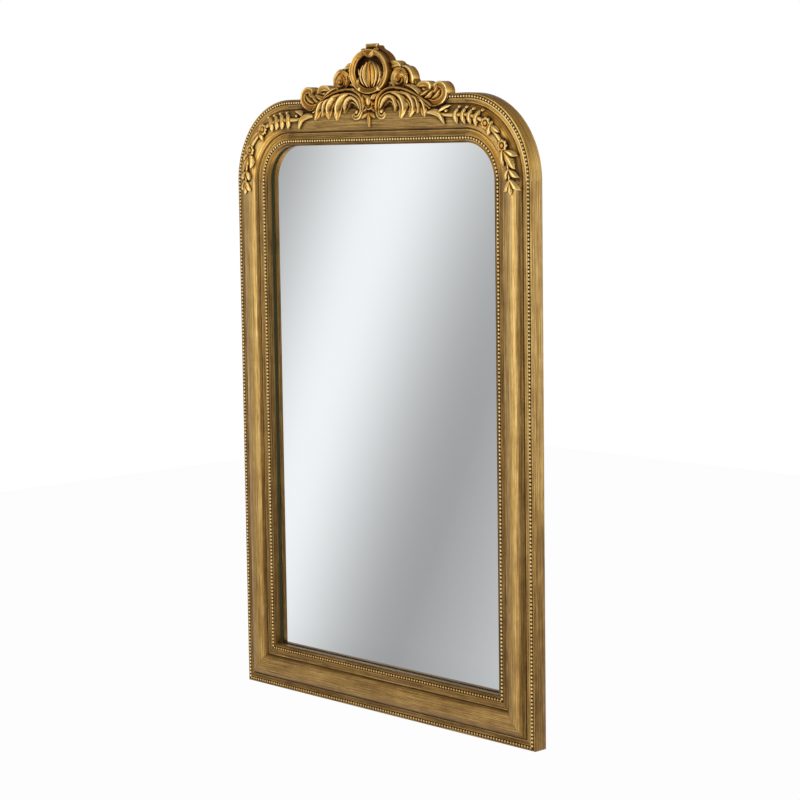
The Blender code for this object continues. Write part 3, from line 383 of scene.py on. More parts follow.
def mouldingSection():
    m = moulding
    deep, groove, quirk, flat = outline["depth"], m["grooveDepth"], m["quirkDepth"], m["filletFlat"]
    outer0, outer1 = m["outerBeads"] - m["grooveHalf"], m["outerBeads"] + m["grooveHalf"]
    inner0, inner1 = m["innerBeads"] - m["grooveHalf"], m["innerBeads"] + m["grooveHalf"]
    quirk0, quirk1 = m["torusStart"] - m["quirkWidth"], m["torusEnd"] + m["quirkWidth"]
    # Tones: the bead grooves dark and the quirks darker, as painted shade with the gilt's patina; the rounded
    # fillet edges light and the torus lighter towards its crown, as painted highlights
    dark, light = m["torusTone"]
    torus = []
    for step in range(m["torusSteps"] + 1):
        angle = pi * step / m["torusSteps"]
        front = sin(angle) * torusTall - quirk
        torus.append((torusLine - cos(angle) * torusHalf, -front, 0, dark + light * sin(angle) ** 0.6, 0))
    return roundedCorners([
        # the back, the wall side and the outer bead groove
        (0.02, deep, 0, 0.3, 1), (0.001, deep, 0, 0.575, 1), (0.0, deep - 0.001, 0, 0.74, 0),
        (0.0, 0.026, 0, 0.74, 0), (0.0, 0.01, 0, 0.7, 0), (0.0, 0.0, 0.0018, 0.72, 0),
        (outer0, 0.0, 0.0003, 0.7, 0), (outer0, groove, 0, 0.02, 0), (outer1, groove, 0, 0.02, 0),
        # the outer fillet, the torus between its quirks, and the inner fillet
        (outer1, -m["outerFillet"], 0.0006, 0.78, 0), (outer1 + flat, -m["outerFillet"], 0, 0.56, 0),
        (quirk0 - flat, -m["outerFillet"], 0, 0.54, 0), (quirk0, -m["outerFillet"], 0.0007, 0.74, 0),
        (quirk0, quirk, 0, 0.4, 0), *torus, (quirk1, quirk, 0, 0.26, 0),
        (quirk1, -m["innerFillet"], 0.0007, 0.8, 0), (quirk1 + flat, -m["innerFillet"], 0, 0.55, 0),
        (inner0 - flat, -m["innerFillet"], 0, 0.51, 0), (inner0, -m["innerFillet"], 0.0006, 0.74, 0),
        # the inner bead groove, the lip and the rebates for glass and backing board
        (inner0, groove, 0, 0.02, 0), (inner1, groove, 0, 0.02, 0), (inner1, 0.0, 0.0004, 0.6, 0),
        (m["width"], 0.0, 0.002, 0.38, 0), (m["width"], 0.003, 0, 0.6, 0),
        (m["width"], m["lipDepth"], 0.0005, 0.5, 0), (m["rebateLine"], m["lipDepth"], 0, 0.2, 1),
        (m["rebateLine"], m["boardSeat"], 0, 0.2, 1), (m["boardLine"], m["boardSeat"], 0, 0.2, 1),
        (m["boardLine"], deep, 0.0005, 0.3, 1),
    ])


# Each straight run's two ends for an inward distance, its place turned into x and z, and its step
stile = (lambda i: i + gap, lambda i: arcZ - hairline)
runs = {
    "bottom_rail": (lambda i: i + gap - halfWidth, lambda i: halfWidth - i - gap, lambda a, i: (a, i), 0.03),
    "left_stile": (*stile, lambda a, i: (i - halfWidth, a), 0.03),
    "right_stile": (*stile, lambda a, i: (halfWidth - i, a), 0.03),
    "top_rail": (lambda i: -arcX + hairline, lambda i: arcX - hairline, lambda a, i: (a, top - i), 0.004),
}
sideRuns = {"bottom": "bottom_rail", "left": "left_stile", "right": "right_stile"}


def straightRows(section, run, coarse=None):
    begin, end, place, step = runs[run]
    longest = max(end(p[0]) - begin(p[0]) for p in section)
    rows = []
    for share in np.linspace(0, 1, max(2, int(longest / (coarse or step)) + 1)):
        row = []
        for inward, depth, *rest in section:
            x, z = place(begin(inward) + (end(inward) - begin(inward)) * share, inward)
            row.append(at(x, -depth, z))
        rows.append(row)
    return rows


def arcRows(section, side):
    rows = []
    for step in range(moulding["arcSteps"] + 1):
        angle = pi / 2 * step / moulding["arcSteps"]
        row = []
        for inward, depth, *rest in section:
            reach = outline["cornerRadius"] - inward
            row.append(at(side * (arcX + reach * cos(angle)), -depth, arcZ + reach * sin(angle)))
        rows.append(row)
    return rows


# Tone and painted light on the moulding: wall side, glass side and crown of the torus, and outer flat. The
# sides are lighter or darker as the light falls on them, as painted shade and painted light, and the lighter
# crown is a painted highlight. A corner passes from its stile's values to the top rail's, and is lighter and
# warmer towards its middle
toneAndPaintedLight = {
    "bottom_rail": (0.88, 1.06, 0.0, 0.0), "left_stile": (0.86, 1.1, 0.05, 0.1),
    "right_stile": (1.02, 0.9, 0.12, 0.12), "top_rail": (0.82, 0.94, 0.0, 0.12), "corner": 0.34,
    # Painted shade: wallFace darkens the wall face towards the top of each arc, and foot and wallFoot darken
    # the moulding towards the bottom, below footTop over footFade. lip darkens the lip towards a corner's
    # middle
    "wallFace": 0.4, "wallEdge": 0.0012, "lip": 0.15, "foot": 0.14, "wallFoot": 0.34,
    "footTop": 0.7, "footFade": 0.5, "flatStart": 0.003, "flatEnd": 0.0005, "lipEdge": 0.0003,
}
section = mouldingSection()


def addToneAndPaintedLight(name, shape):
    points = np.array(shape["points"])
    inward = np.tile([p[0] for p in section], len(points) // len(section))
    share = np.clip((inward - moulding["torusStart"]) / (2 * torusHalf), 0, 1)
    if "corner" in name:
        beyondX = np.maximum(np.abs(points[:, 0]) - arcX, 0)
        beyondZ = np.maximum(points[:, 2] - arcZ, 0)
        turn = np.arctan2(beyondZ, beyondX) / (pi / 2)
        ends = (toneAndPaintedLight[name.split("_")[0] + "_stile"], toneAndPaintedLight["top_rail"])
    else:
        turn = np.full(len(points), 1.0 if name == "top_rail" else 0.0)
        ends = (toneAndPaintedLight[name], toneAndPaintedLight[name])
    wall, glass, crown, flat = (a + (b - a) * turn for a, b in zip(*ends))
    warm = np.sin(pi * turn) ** 0.8
    wallFace = inward < toneAndPaintedLight["wallEdge"]
    outerFlat = inward > moulding["outerBeads"] + toneAndPaintedLight["flatStart"]
    outerFlat &= inward < moulding["torusStart"] - toneAndPaintedLight["flatEnd"]
    lip = inward > moulding["width"] - toneAndPaintedLight["lipEdge"]
    # Painted shade towards the bottom and on the wall face towards the top of an arc; painted shade and light
    # by side of the torus, with a painted highlight on its crown
    foot = np.clip((toneAndPaintedLight["footTop"] - points[:, 2]) / toneAndPaintedLight["footFade"], 0, 1)
    factor = wall + (glass - wall) * share + crown * np.sin(pi * share) ** 2
    factor *= (1 + toneAndPaintedLight["corner"] * warm) * (1 - toneAndPaintedLight["wallFace"] * turn * wallFace)
    factor *= (1 + flat * outerFlat) * (1 - toneAndPaintedLight["lip"] * warm * lip)
    factor *= 1 - foot * np.where(wallFace, toneAndPaintedLight["wallFoot"], toneAndPaintedLight["foot"])
    shape["relief"] = np.clip(np.array(shape["relief"]) * factor, 0, 1)
    shape["warm"] = warm


def mouldingShape(name, rows, start):
    shape = newShape()
    addSkin(shape, rows, [p[2] for p in section], [p[3] for p in section], start)
    addToneAndPaintedLight(name, shape)
    return shape


mouldings = {}
for number, name in enumerate(runs):
    mouldings[name] = mouldingShape(name, straightRows(section, name), 3.7 * number)
for side, name in ((-1, "left_corner_block"), (1, "right_corner_block")):
    mouldings[name] = mouldingShape(name, arcRows(section, side), 20 + side)
print("mouldings drawn:", len(mouldings))

# A bead's tone runs from dark at its foot to light at its crown, and the strip between the beads is nearly
# black: painted shade and painted highlight beside the gilt's patina. The beads along the bottom rail are set
# darker, as painted shade
beads = {
    "pitch": 0.008, "halfWidth": 0.0033, "halfLength": 0.0035, "proud": 0.0026, "sunk": 0.001,
    "rings": 6, "sides": 14, "foot": 0.05, "crown": 0.95, "bottomRow": 0.76, "grain": 0.003,
    "stripTop": 0.0009, "stripTone": 0.03, "stripStep": 0.05,
}
dome = []  # a bead's points, ring by ring
for ring in range(beads["rings"]):
    angle = pi / 2 * ring / beads["rings"]
    for side in range(beads["sides"]):
        turn = 2 * pi * side / beads["sides"]
        dome.append((cos(angle) * cos(turn), sin(angle), cos(angle) * sin(turn)))
dome = np.array(dome)


def addBead(shape, x, z, turn, tone=1.0):
    along = dome[:, 0] * beads["halfLength"]
    across = dome[:, 2] * beads["halfWidth"]
    front = dome[:, 1] * (beads["proud"] + beads["sunk"]) - beads["sunk"]
    first, count = len(shape["points"]), beads["sides"]
    px = x + along * cos(turn) - across * sin(turn)
    pz = z + along * sin(turn) + across * cos(turn)
    shape["points"].extend(zip(*at(px, front, pz)))
    # Painted shade at the bead's foot, a painted highlight on its crown
    shape["relief"].extend(np.clip(beads["foot"] + beads["crown"] * tone * dome[:, 1] ** 0.8, 0, 1))
    shape["bare"].extend([0.0] * len(dome))
    shape["run"].extend((x + z, v, 0.0) for v in dome[:, 1] * beads["grain"])
    for ring in range(beads["rings"] - 1):
        for side in range(count):
            a = first + ring * count + side
            b = first + ring * count + (side + 1) % count
            shape["faces"].append((a, b, b + count, a + count))
    crown = first + (beads["rings"] - 1) * count
    shape["faces"].append(tuple(crown + side for side in range(count)))
    shape["faces"].append(tuple(first + side for side in reversed(range(count))))


def evenly(length):
    count = round(length / beads["pitch"])
    return [(number + 0.5) * length / count for number in range(count)]


def straightBeads(section, line, run):
    begin, end, place = runs[run][:3]
    foot = run == "bottom_rail"
    shape = newShape()
    # The strip between the beads nearly black, as painted shade
    addSkin(shape, straightRows(section, run, beads["stripStep"]), beads["stripTone"])
    for along in evenly(end(line) - begin(line)):
        x, z = place(begin(line) + along, line)
        # Beads along the bottom rail darker, as painted shade
        addBead(shape, x, z, 0 if foot else pi / 2, beads["bottomRow"] if foot else 1.0)
    return shape


def archBeads(section, line):
    shape = newShape()
    middle = straightRows(section, "top_rail", beads["stripStep"])[1:-1]
    addSkin(shape, arcRows(section, -1) + middle + arcRows(section, 1)[::-1], beads["stripTone"])
    radius = outline["cornerRadius"] - line
    arc = radius * pi / 2
    total = 2 * arc + 2 * arcX
    for along in evenly(total):
        if arc <= along <= total - arc:
            addBead(shape, along - arc - arcX, arcZ + radius, 0)
        else:
            side = -1 if along < arc else 1
            angle = (along if side < 0 else total - along) / radius
            x = side * (arcX + radius * cos(angle))
            addBead(shape, x, arcZ + radius * sin(angle), side * (angle + pi / 2))
    return shape


for word in ("outer", "inner"):
    line = moulding[word + "Beads"]
    half = moulding["grooveHalf"] - gap
    high, low = beads["stripTop"], moulding["grooveDepth"] - gap
    bar = [(line - half, low), (line - half, high), (line + half, high), (line + half, low)]
    strips = {name: straightBeads(bar, line, run) for name, run in sideRuns.items()}
    strips["arch"] = archBeads(bar, line)
    for name, shape in strips.items():
        madeObject(f"{name}_{word}_bead_strip", "pearls", shape, "bead_gilt")
print("bead rows strung")


# The forms of a leaf's cross-section, for t from -1 at one edge to 1 at the other
def bump(t, middle, reach):
    return 2.718 ** -(((t - middle) / reach) ** 2)


def convex(t):
    return 0.3 + 0.7 * (1 - abs(t) ** 2.2) ** 0.7


def fluted(t):
    # A raised middle vein between two hollows, and a rounded rim
    return 0.28 + 0.72 * (1 - abs(t) ** 3) ** 0.8 - 0.2 * sin(pi * abs(t)) ** 2


def lobed(t):
    # A full crest towards the outer side, a hollow and a thin rim inside it
    return 0.34 + 0.66 * bump(t, 0.32, 0.58) + 0.3 * bump(t, -0.82, 0.16)


def full(t):
    # Round all over, with its crest a little off the middle
    return 0.28 + 0.62 * (1 - abs(t) ** 2.4) ** 0.75 + 0.1 * bump(t, 0.25, 0.35)


def rolled(t):
    # Two cords with a channel between them
    return 0.4 + 0.6 * bump(t, 0.62, 0.26) + 0.48 * bump(t, -0.52, 0.3)


def slabbed(t):
    # A broad face with a steep wall at either edge
    return 0.72 + 0.28 * (1 - abs(t) ** 2.4) ** 0.6 - 0.1 * bump(t, -0.25, 0.2)


def ribbon(t):
    # Flat, with a low cord near either edge
    return 0.78 + 0.22 * bump(t, 0.7, 0.22) + 0.16 * bump(t, -0.72, 0.18)


def rimmed(t):
    # Two edges and a middle rib
    return 0.45 + 0.55 * bump(t, 0, 0.16) + 0.45 * bump(abs(t), 0.66, 0.18)


def cupped(t):
    # High along one rim, which drops at its very edge, and falling towards the other
    share = (t + 1) / 2
    return 0.3 + 0.7 * share**1.6 if t < 0.86 else 0.3 + 0.7 * 0.93**1.6 - (t - 0.86) * 3.0


# Each kind of leaf's form, and its breadth along the path
leafKinds = {
    "leaf": (fluted, (0.45, 0.8, 1.0, 1.0, 0.85, 0.6, 0.18)),
    "lobe": (lobed, (0.5, 0.8, 1.0, 1.0, 0.97, 0.8, 0.22)),
    "petal": (slabbed, (0.45, 0.85, 1.0, 1.0, 0.9, 0.6, 0.2)),
    "ribbon": (ribbon, (0.35, 0.6, 0.9, 1.0, 1.0, 0.95, 0.7)),
    "almond": (rimmed, (0.25, 0.7, 0.95, 1.0, 0.9, 0.6, 0.1)),
    "scroll": (rolled, (0.55, 0.85, 1.0, 1.0, 0.9, 0.6)),
    "cup": (cupped, (0.55, 0.85, 1.0, 1.0, 0.9, 0.6)),
    "rib": (convex, (0.45, 0.8, 1.0, 1.0, 0.85, 0.6, 0.18)),
    "wire": (convex, (0.6, 1.0, 1.0, 1.0, 1.0, 0.5)),
    "frond": (full, (0.4, 0.8, 1.0, 1.0, 0.75, 0.15)),
    "even": (convex, (1.0, 1.0)),
}
carved = {
    "floor": 0.0045, "back": 0.019, "lift": 0.004, "swell": (0.8, 1.0, 1.05, 0.85), "tone": 0.5,
    "stations": 16, "step": 0.0016, "slices": 14,
}


def addLeaf(shape, path, breadth, kind, crown=0.0, lift=carved["lift"], swell=carved["swell"],
            stations=None, floor=carved["floor"], tone=carved["tone"], side=1):
    # It stands lift above its seat, and at least crown before the bead plane; side -1 turns its form
    form, taper = leafKinds[kind]
    length = sum(hypot(b[0] - a[0], b[1] - a[1]) for a, b in zip(path, path[1:]))
    spots = smoothPath(path, stations or max(carved["stations"], int(length / carved["step"])))
    ahead = np.gradient(spots, axis=0)
    ahead /= np.linalg.norm(ahead, axis=1)[:, None]
    rows = []
    for number, (spot, way) in enumerate(zip(spots, ahead)):
        share = number / (len(spots) - 1)
        out = np.array((-way[1], way[0])) * (breadth / 2 * shareAt(taper, share))
        rise = shareAt(swell, share)
        row = [at(spot[0] - out[0], -floor, spot[1] - out[1])]
        for t in np.linspace(-1, 1, carved["slices"] + 1):
            x, z = spot + out * t
            high = form(t * side) * rise
            row.append(at(x, max(crown * high, seatHeight(x, z) + lift * high), z))
        row.append(at(spot[0] + out[0], -floor, spot[1] + out[1]))
        rows.append(row)
    addSkin(shape, rows, tone)


def addTurned(shape, x, z, profile, sides=28, squash=1.0, petals=0, dip=0.0):
    # (radius, front) points from the rim's foot to the middle
    rows = []
    for radius, front in profile:
        row = []
        for step in range(sides):
            angle = 2 * pi * step / sides
            reach = radius * (1 + dip * (cos(petals * angle) - 1) / 2)
            row.append(at(x + reach * cos(angle), front, z + reach * sin(angle) * squash))
        rows.append(row)
    addSkin(shape, rows, carved["tone"])


def mm(points, side=1):
    # Millimetres from the middle of the frame's top edge, for the right side or the left
    return [(side * x / 1000, top + z / 1000) for x, z in points]


def addLeaves(shape, piece, side=1, key="leaves", **more):
    for kind, breadth, proud, points in piece[key]:
        breadth, proud = piece["breadth"] * breadth, piece["proud"] * proud
        addLeaf(shape, mm(points, side), breadth, kind, proud, side=side, **more)


def addBall(shape, piece, side=1, sides=18, squash=1.0):
    place, radius, foot, proud, lean, steps = piece["ball"]
    profile = [(radius, foot)]
    for angle in np.linspace(0, lean, steps):
        profile.append((radius * cos(angle), piece["proud"] * proud - radius * (1 - sin(angle))))
    addTurned(shape, *mm([place], side)[0], profile, sides, squash)


# Leaves are a kind, shares of the piece's breadth and proudness, and a path for the right side.
# A ball is its place, radius, foot, share of the proudness, how far round it goes, and in how many rows
acanthus = {
    "breadth": 0.015, "proud": 0.0155, "ball": ((39, -33), 0.0048, -carved["floor"], 0.96, 1.45, 8),
    "leaves": [
        ("scroll", 1.1, 1.0, [
            (50, -36), (44, -44), (31, -41), (24, -23), (31, -3), (53, 9), (80, 11), (109, 6), (136, -3),
            (162, -14), (184, -28),
        ]),
        ("lobe", 1.25, 0.92, [(33, -27), (43, -12), (58, -4), (73, -11), (79, -34)]),
        ("lobe", 1.65, 0.97, [(64, 5), (88, -3), (101, -22), (100, -49)]),
        ("lobe", 1.5, 0.95, [(96, 5), (119, -5), (131, -23), (126, -46)]),
        ("lobe", 1.15, 0.93, [(124, -2), (142, -13), (149, -40)]),
        ("lobe", 1.3, 0.91, [(140, -5), (159, -17), (171, -47)]),
    ],
}


def acanthusShape(side):
    shape = newShape()
    addLeaves(shape, acanthus, side)
    addBall(shape, acanthus, side)
    return shape


rose = {
    "place": (90.3, 34.5), "radius": 0.023, "proud": 0.015, "pad": 0.003, "padRadius": 0.0216,
    "dome": [(1.0, 0.006), (0.9, 0.0072), (0.5, 0.0084), (0.05, 0.009)],
    "petals": [  # turned from, to, reach from, to, breadth and rise, as shares of the radius and of proud
        (95, 350, 0.78, 0.78, 0.44, 0.86), (-25, 120, 0.8, 0.74, 0.42, 0.96),
        (200, 400, 0.4, 0.34, 0.42, 1.02), (50, 215, 0.44, 0.36, 0.38, 0.92),
        (150, 430, 0.14, 0.05, 0.26, 1.08),
    ],
    "swell": (0.85, 1.0, 1.0, 0.85), "pathPoints": 24, "stations": 40,
}


def roseShape(side):
    shape = newShape()
    x, z = mm([rose["place"]], side)[0]
    reach = rose["radius"]
    profile = [(reach, rose["pad"] + gap)] + [(share * reach, high) for share, high in rose["dome"]]
    addTurned(shape, x, z, profile)
    for start, end, first, last, breadth, rise in rose["petals"]:
        path = []
        for share in np.linspace(0, 1, rose["pathPoints"]):
            angle = (start + (end - start) * share) * pi / 180
            away = reach * (first + (last - first) * share)
            path.append((x + side * away * cos(angle), z + away * sin(angle)))
        addLeaf(shape, path, reach * breadth, "cup", rise * rose["proud"], 0, rose["swell"], rose["stations"],
                -rose["pad"] - 2 * gap, side=-side)
    return shape


wing = {
    "breadth": 0.015, "proud": 0.0088,
    "leaves": [
        ("ribbon", 1.02, 0.8, [
            (150, 0), (168, -12), (186, -19), (203, -17), (216, -9), (221, 2), (217, 13), (205, 19),
            (190, 15),
        ]),
        ("leaf", 0.9, 0.8, [(56, 27), (80, 24), (108, 17), (136, 8), (160, -2)]),
        ("lobe", 0.9, 1.15, [(104, 20), (124, 14), (144, 2), (158, -14)]),
        ("petal", 0.95, 0.2, [(44, 46), (50, 58), (61, 65), (76, 66), (88, 60)]),
        ("petal", 1.15, 0.25, [(92, 58), (106, 50), (116, 38), (122, 20)]),
        ("petal", 0.8, 0.25, [(136, 17), (151, 22), (167, 20), (172, 13), (163, 8), (153, 11)]),
        ("leaf", 0.95, 1.0, [(185, -10), (199, -3), (211, 9)]),
        ("leaf", 0.95, 0.9, [(200, 18), (196, 8), (186, 1)]),
        ("leaf", 0.85, 1.3, [(143, -5), (160, -1), (177, 8)]),
        ("leaf", 0.85, 1.2, [(160, -11), (175, -4), (191, 7)]),
    ],
}


def wingShape(side):
    # With the pad that carries the rose
    shape = newShape()
    addLeaves(shape, wing, side, floor=carved["back"])
    pad, radius = rose["pad"] - gap, rose["padRadius"]
    profile = [(radius, -carved["floor"]), (radius, pad), (0.001, pad)]
    addTurned(shape, *mm([rose["place"]], side)[0], profile)
    return shape


garland = {
    "breadth": 0.0128, "lift": 0.0062, "wireLift": 0.8,
    # paths in millimetres along the torus from the corner's middle, and across it
    "wire": [(0.7, [
        (189, 9.6), (157, 4.0), (125, 2.5), (93, 3.0), (61, 3.3), (31, 3.8), (1, 4.0), (-32, 5.1),
        (-59, 3.5), (-87, 1.5), (-114, 2.5),
    ])],
    "frond": [
        (1.15, [(202, 9.5), (182, 9.5), (165, 3.0), (153, -16.5)]),
        (0.8, [(171, 6.6), (157, 17.7), (138, 22.5)]),
        (1.15, [(115, 16.2), (120, 1.8), (117, -15.9)]),
        (1.15, [(95, 15.7), (99, 1.0), (94, -16.4)]),
        (1.15, [(78, 15.1), (81, 0.8), (74, -14.4)]),
        (1.2, [(58, 18.9), (62, 3.0), (57, -13.9)]),
        (1.15, [(22, 15.1), (19, 2.0), (14, -14.1)]),
        (1.0, [(19, 6.1), (7, 8.1), (-6, 12.1)]),
        (1.1, [(-35, 3.5), (-53, -9.6), (-71, -10.4)]),
        (1.35, [(-43, 0.0), (-63, 6.3), (-83, 15.9)]),
        (1.0, [(-44, 4.5), (-55, 16.7), (-61, 24.7)]),
        (1.0, [(-81, 2.3), (-90, -5.6), (-101, -9.3)]),
        (1.0, [(-82, 3.0), (-92, 12.1), (-98, 22.0)]),
        (1.1, [(-103, 3.3), (-116, -3.8), (-126, -12.6)]),
        (1.1, [(-102, 2.5), (-115, 14.6), (-122, 24.7)]),
        (1.0, [(-106, 2.5), (-119, 3.3), (-132, 4.8)]),
    ],
    "knobs": [(112, 18.5), (92, 18.0), (74, 17.5), (54, 21.0), (147, 11.0)],
    "knobProfile": [(0.0036, 0.0024), (0.003, 0.0044), (0.0018, 0.0056), (0.0003, 0.006)],
}
rosette = {
    "radius": 0.0132, "proud": 0.0188, "foot": 0.0143, "along": 31.6, "across": 4.0, "petals": 8,
    "dip": 0.2, "sides": 40,
    "profile": [
        (1.0, 0.0), (1.0, 0.3), (0.92, 0.62), (0.75, 0.8), (0.55, 0.55), (0.44, 0.35), (0.4, 0.75),
        (0.27, 0.96), (0.05, 1.0),
    ],
}


def alongTorus(along, across, side):
    radius = outline["cornerRadius"] - torusLine
    quarter = radius * pi / 4
    along /= 1000
    reach = radius + across / 1000
    if along > quarter:
        return (side * (arcX - along + quarter), arcZ + reach)
    if along < -quarter:
        return (side * (arcX + reach), arcZ + along + quarter)
    angle = pi / 4 + along / radius
    return (side * (arcX + reach * cos(angle)), arcZ + reach * sin(angle))


def garlandShape(side):
    shape = newShape()
    for kind, share in (("wire", garland["wireLift"]), ("frond", 1.0)):
        for breadth, points in garland[kind]:
            path = [alongTorus(along, across, side) for along, across in points]
            addLeaf(shape, path, garland["breadth"] * breadth, kind, 0, garland["lift"] * share, side=side)
    for along, across in garland["knobs"]:
        x, z = alongTorus(along, across, side)
        foot = seatHeight(x, z)
        profile = [(radius, foot + high) for radius, high in garland["knobProfile"]]
        addTurned(shape, x, z, [(profile[0][0], 0)] + profile, 14)
    return shape


def rosetteShape(side, along):
    shape = newShape()
    span = rosette["proud"] - rosette["foot"]
    profile = [(r * rosette["radius"], rosette["foot"] + span * high) for r, high in rosette["profile"]]
    x, z = alongTorus(along, rosette["across"], side)
    addTurned(shape, x, z, profile, rosette["sides"], 1.0, rosette["petals"], rosette["dip"])
    return shape


carvings = {}
for side, hand in ((-1, "left"), (1, "right")):
    carvings[hand + "_acanthus"] = acanthusShape(side)
    carvings[hand + "_wing"] = wingShape(side)
    carvings[hand + "_rose"] = roseShape(side)
    carvings[hand + "_garland"] = garlandShape(side)
    carvings[hand + "_upper_rosette"] = rosetteShape(side, rosette["along"])
    carvings[hand + "_lower_rosette"] = rosetteShape(side, -rosette["along"])

ring = {
    "z": 52.4, "halfWidth": 0.0592, "halfHeight": 0.0472, "band": 0.014, "proud": 0.0148, "steps": 144,
    # Tones: the rims light as painted highlights, the foot of the inner wall dark as painted shade
    "section": [  # across the band, forward, and tone
        (0, -1.2, 0), (0, 0.5, 0.05), (0.03, 0.7, 0.75), (0.1, 0.8, 0.8), (0.18, 0.74, 0.36),
        (0.45, 0.82, 0.44), (0.74, 0.9, 0.46), (0.8, 0.97, 0.62), (0.88, 1.0, 0.78), (0.95, 0.97, 0.7),
        (1, 0.84, 0.4), (1, 0.4, 0.36), (1, -1.2, 0.44),
    ],
    "breadth": 0.0115, "folds": [("leaf", 1.0, 1.1, [(22, 100), (12, 92), (1, 82)])], "foldFloor": -0.003,
    "foldTone": 0.85,
}
ringZ = top + ring["z"] / 1000


def ringShape():
    # With its two folds
    rows = []
    for step in range(ring["steps"] + 1):
        angle = 2 * pi * step / ring["steps"]
        row = []
        for across, high, tone in ring["section"]:
            reach = ring["halfWidth"] - ring["band"] * (1 - across)
            squash = ring["halfHeight"] / ring["halfWidth"]
            row.append(at(reach * sin(angle), ring["proud"] * high, ringZ + reach * cos(angle) * squash))
        rows.append(row)
    shape = newShape()
    addSkin(shape, rows, [tone for across, high, tone in ring["section"]], caps=False)
    for side in (1, -1):
        addLeaves(shape, ring, side, "folds", floor=ring["foldFloor"], tone=ring["foldTone"])
    return shape


palmette = {
    "breadth": 0.01, "proud": 0.0118, "middle": [("almond", 1.9, 1.05, [(0, 14), (0, 42), (0, 75)])],
    "ribs": [
        ("rib", 0.78, 0.96, [(7, 18), (15, 28), (20, 42), (18, 58), (9, 72)]),
        ("rib", 0.74, 0.84, [(14, 19), (25, 29), (30, 41), (29, 54), (22, 66)]),
    ],
    "ribSwell": (0.7, 0.95, 1.0, 0.85),
    "curl": [("leaf", 0.85, 1.15, [(5, 13), (22, 14), (35, 23), (38, 34), (32, 40)])],
    "ball": ((29, 16), 0.0058, 0, 1.35, pi / 2 - 0.1, 7),
}


def palmetteShape():
    shape = newShape()
    addLeaves(shape, palmette, 1, "middle")
    for side in (-1, 1):
        addLeaves(shape, palmette, side, "ribs", swell=palmette["ribSwell"])
        addLeaves(shape, palmette, side, "curl")
        addBall(shape, palmette, side)
    return shape


boss = {
    "breadth": 0.01, "proud": 0.0188, "squash": 1.55,
    "ball": ((0, -9.5), 0.0062, -carved["floor"], 1.0, pi / 2 - 0.08, 9),
    "middle": [("almond", 1.9, 0.72, [(0, -36), (0, -16), (0, 3)])],
    "leaves": [
        ("leaf", 1.05, 0.8, [(3, -10), (12, 0), (22, 5)]),
        ("leaf", 1.0, 0.78, [(3, -20), (10, -28), (21, -32)]),
    ],
    "collar": [("frond", 0.62, 0.86, [(-12, -21), (-7, -26), (0, -28), (7, -26), (12, -21)])],
}


def bossShape():
    shape = newShape()
    addBall(shape, boss, 1, 28, boss["squash"])
    addLeaves(shape, boss, 1, "middle")
    for side in (-1, 1):
        addLeaves(shape, boss, side)
    addLeaves(shape, boss, 1, "collar")
    return shape


husk = {
    "breadth": 0.015, "proud": 0.0165,
    "leaves": [
        ("leaf", 0.75, 1.0, [(0, -33), (0, -48), (0, -65)]),
        ("leaf", 0.65, 0.95, [(0, -36), (10, -39), (21, -46)]),
        ("leaf", 0.65, 0.93, [(0, -36), (-10, -39), (-21, -46)]),
    ],
}
roll = {
    "breadth": 0.0104, "proud": 0.004, "leaves": [("even", 1, 1, [(-17, 105.8), (0, 105.8), (17, 105.8)])],
}
slab = {
    "thickness": 0.018, "round": 0.0012, "spine": 0.0008, "points": 90, "columnSteps": 14,
    "outline": [
        (0, 107), (14, 107), (20, 100), (36, 92), (49, 81), (58, 66), (72, 66), (90, 64), (111, 50),
        (126, 31), (137, 15), (155, 20), (172, 8), (189, 16), (206, 20), (222, 16), (228, 6), (224, 2),
    ],
}


def slabShape():
    # Its front is in upright columns, each from the outline down to a spine
    foot, inset, spine = top + gap, slab["round"], top + slab["spine"]
    half = smoothPath(mm(slab["outline"]), slab["points"])
    half = np.vstack([half, (half[-1][0], foot)])
    loop = np.vstack([half, half[:0:-1] * (-1, 1)])
    rows = []
    for lower, back in ((0, slab["thickness"]), (0, inset), (0.0003, 0.0003), (inset, 0)):
        rows.append([at(x, slabFront - back, max(z - lower, foot)) for x, z in loop])
    for share in np.linspace(0.93, 0.0, slab["columnSteps"]):
        rows.append([at(x, slabFront, spine + (max(z - inset, foot) - spine) * share) for x, z in loop])
    shape = newShape()
    addSkin(shape, rows, 0.4)
    return shape


carvings["crest_ring"] = ringShape()
carvings["crest_palmette"] = palmetteShape()
carvings["top_roll"] = newShape()
addLeaves(carvings["top_roll"], roll, swell=(1, 1))
carvings["crest_boss"] = bossShape()
carvings["pendant_husk"] = newShape()
addLeaves(carvings["pendant_husk"], husk)
carvings["crest_slab"] = slabShape()
print("carving laid out:", len(carvings), "pieces")

# How deep each spot lies, from a grid of the carving's fronts blurred over a few cells and over many
field = {
    "cell": 0.001, "low": 1.1, "high": 1.46, "few": 2, "many": 6, "outside": -0.008, "glass": -0.012,
    "nearDepth": 0.0035, "wideDepth": 0.009, "shadeFrom": 0.0003, "shadeDepth": 0.0024, "shade": 0.9,
    "edge": 0.002,
}


def blurred(grid, reach):
    for axis in (0, 1):
        for turn in range(2):
            total = np.cumsum(np.insert(grid, 0, 0, axis), axis)
            count = grid.shape[axis]
            low = np.clip(np.arange(count) - reach, 0, count)
            high = np.clip(np.arange(count) + reach + 1, 0, count)
            size = (high - low).astype(float)
            size = size[:, None] if axis == 0 else size
            grid = (np.take(total, high, axis) - np.take(total, low, axis)) / size
    return grid


def gridPlace(points):
    cells = ((points[:, [0, 2]] - (-halfWidth, field["low"])) / field["cell"]).astype(int)
    return tuple(np.clip(cells, 0, (columns - 1, levels - 1)).T)


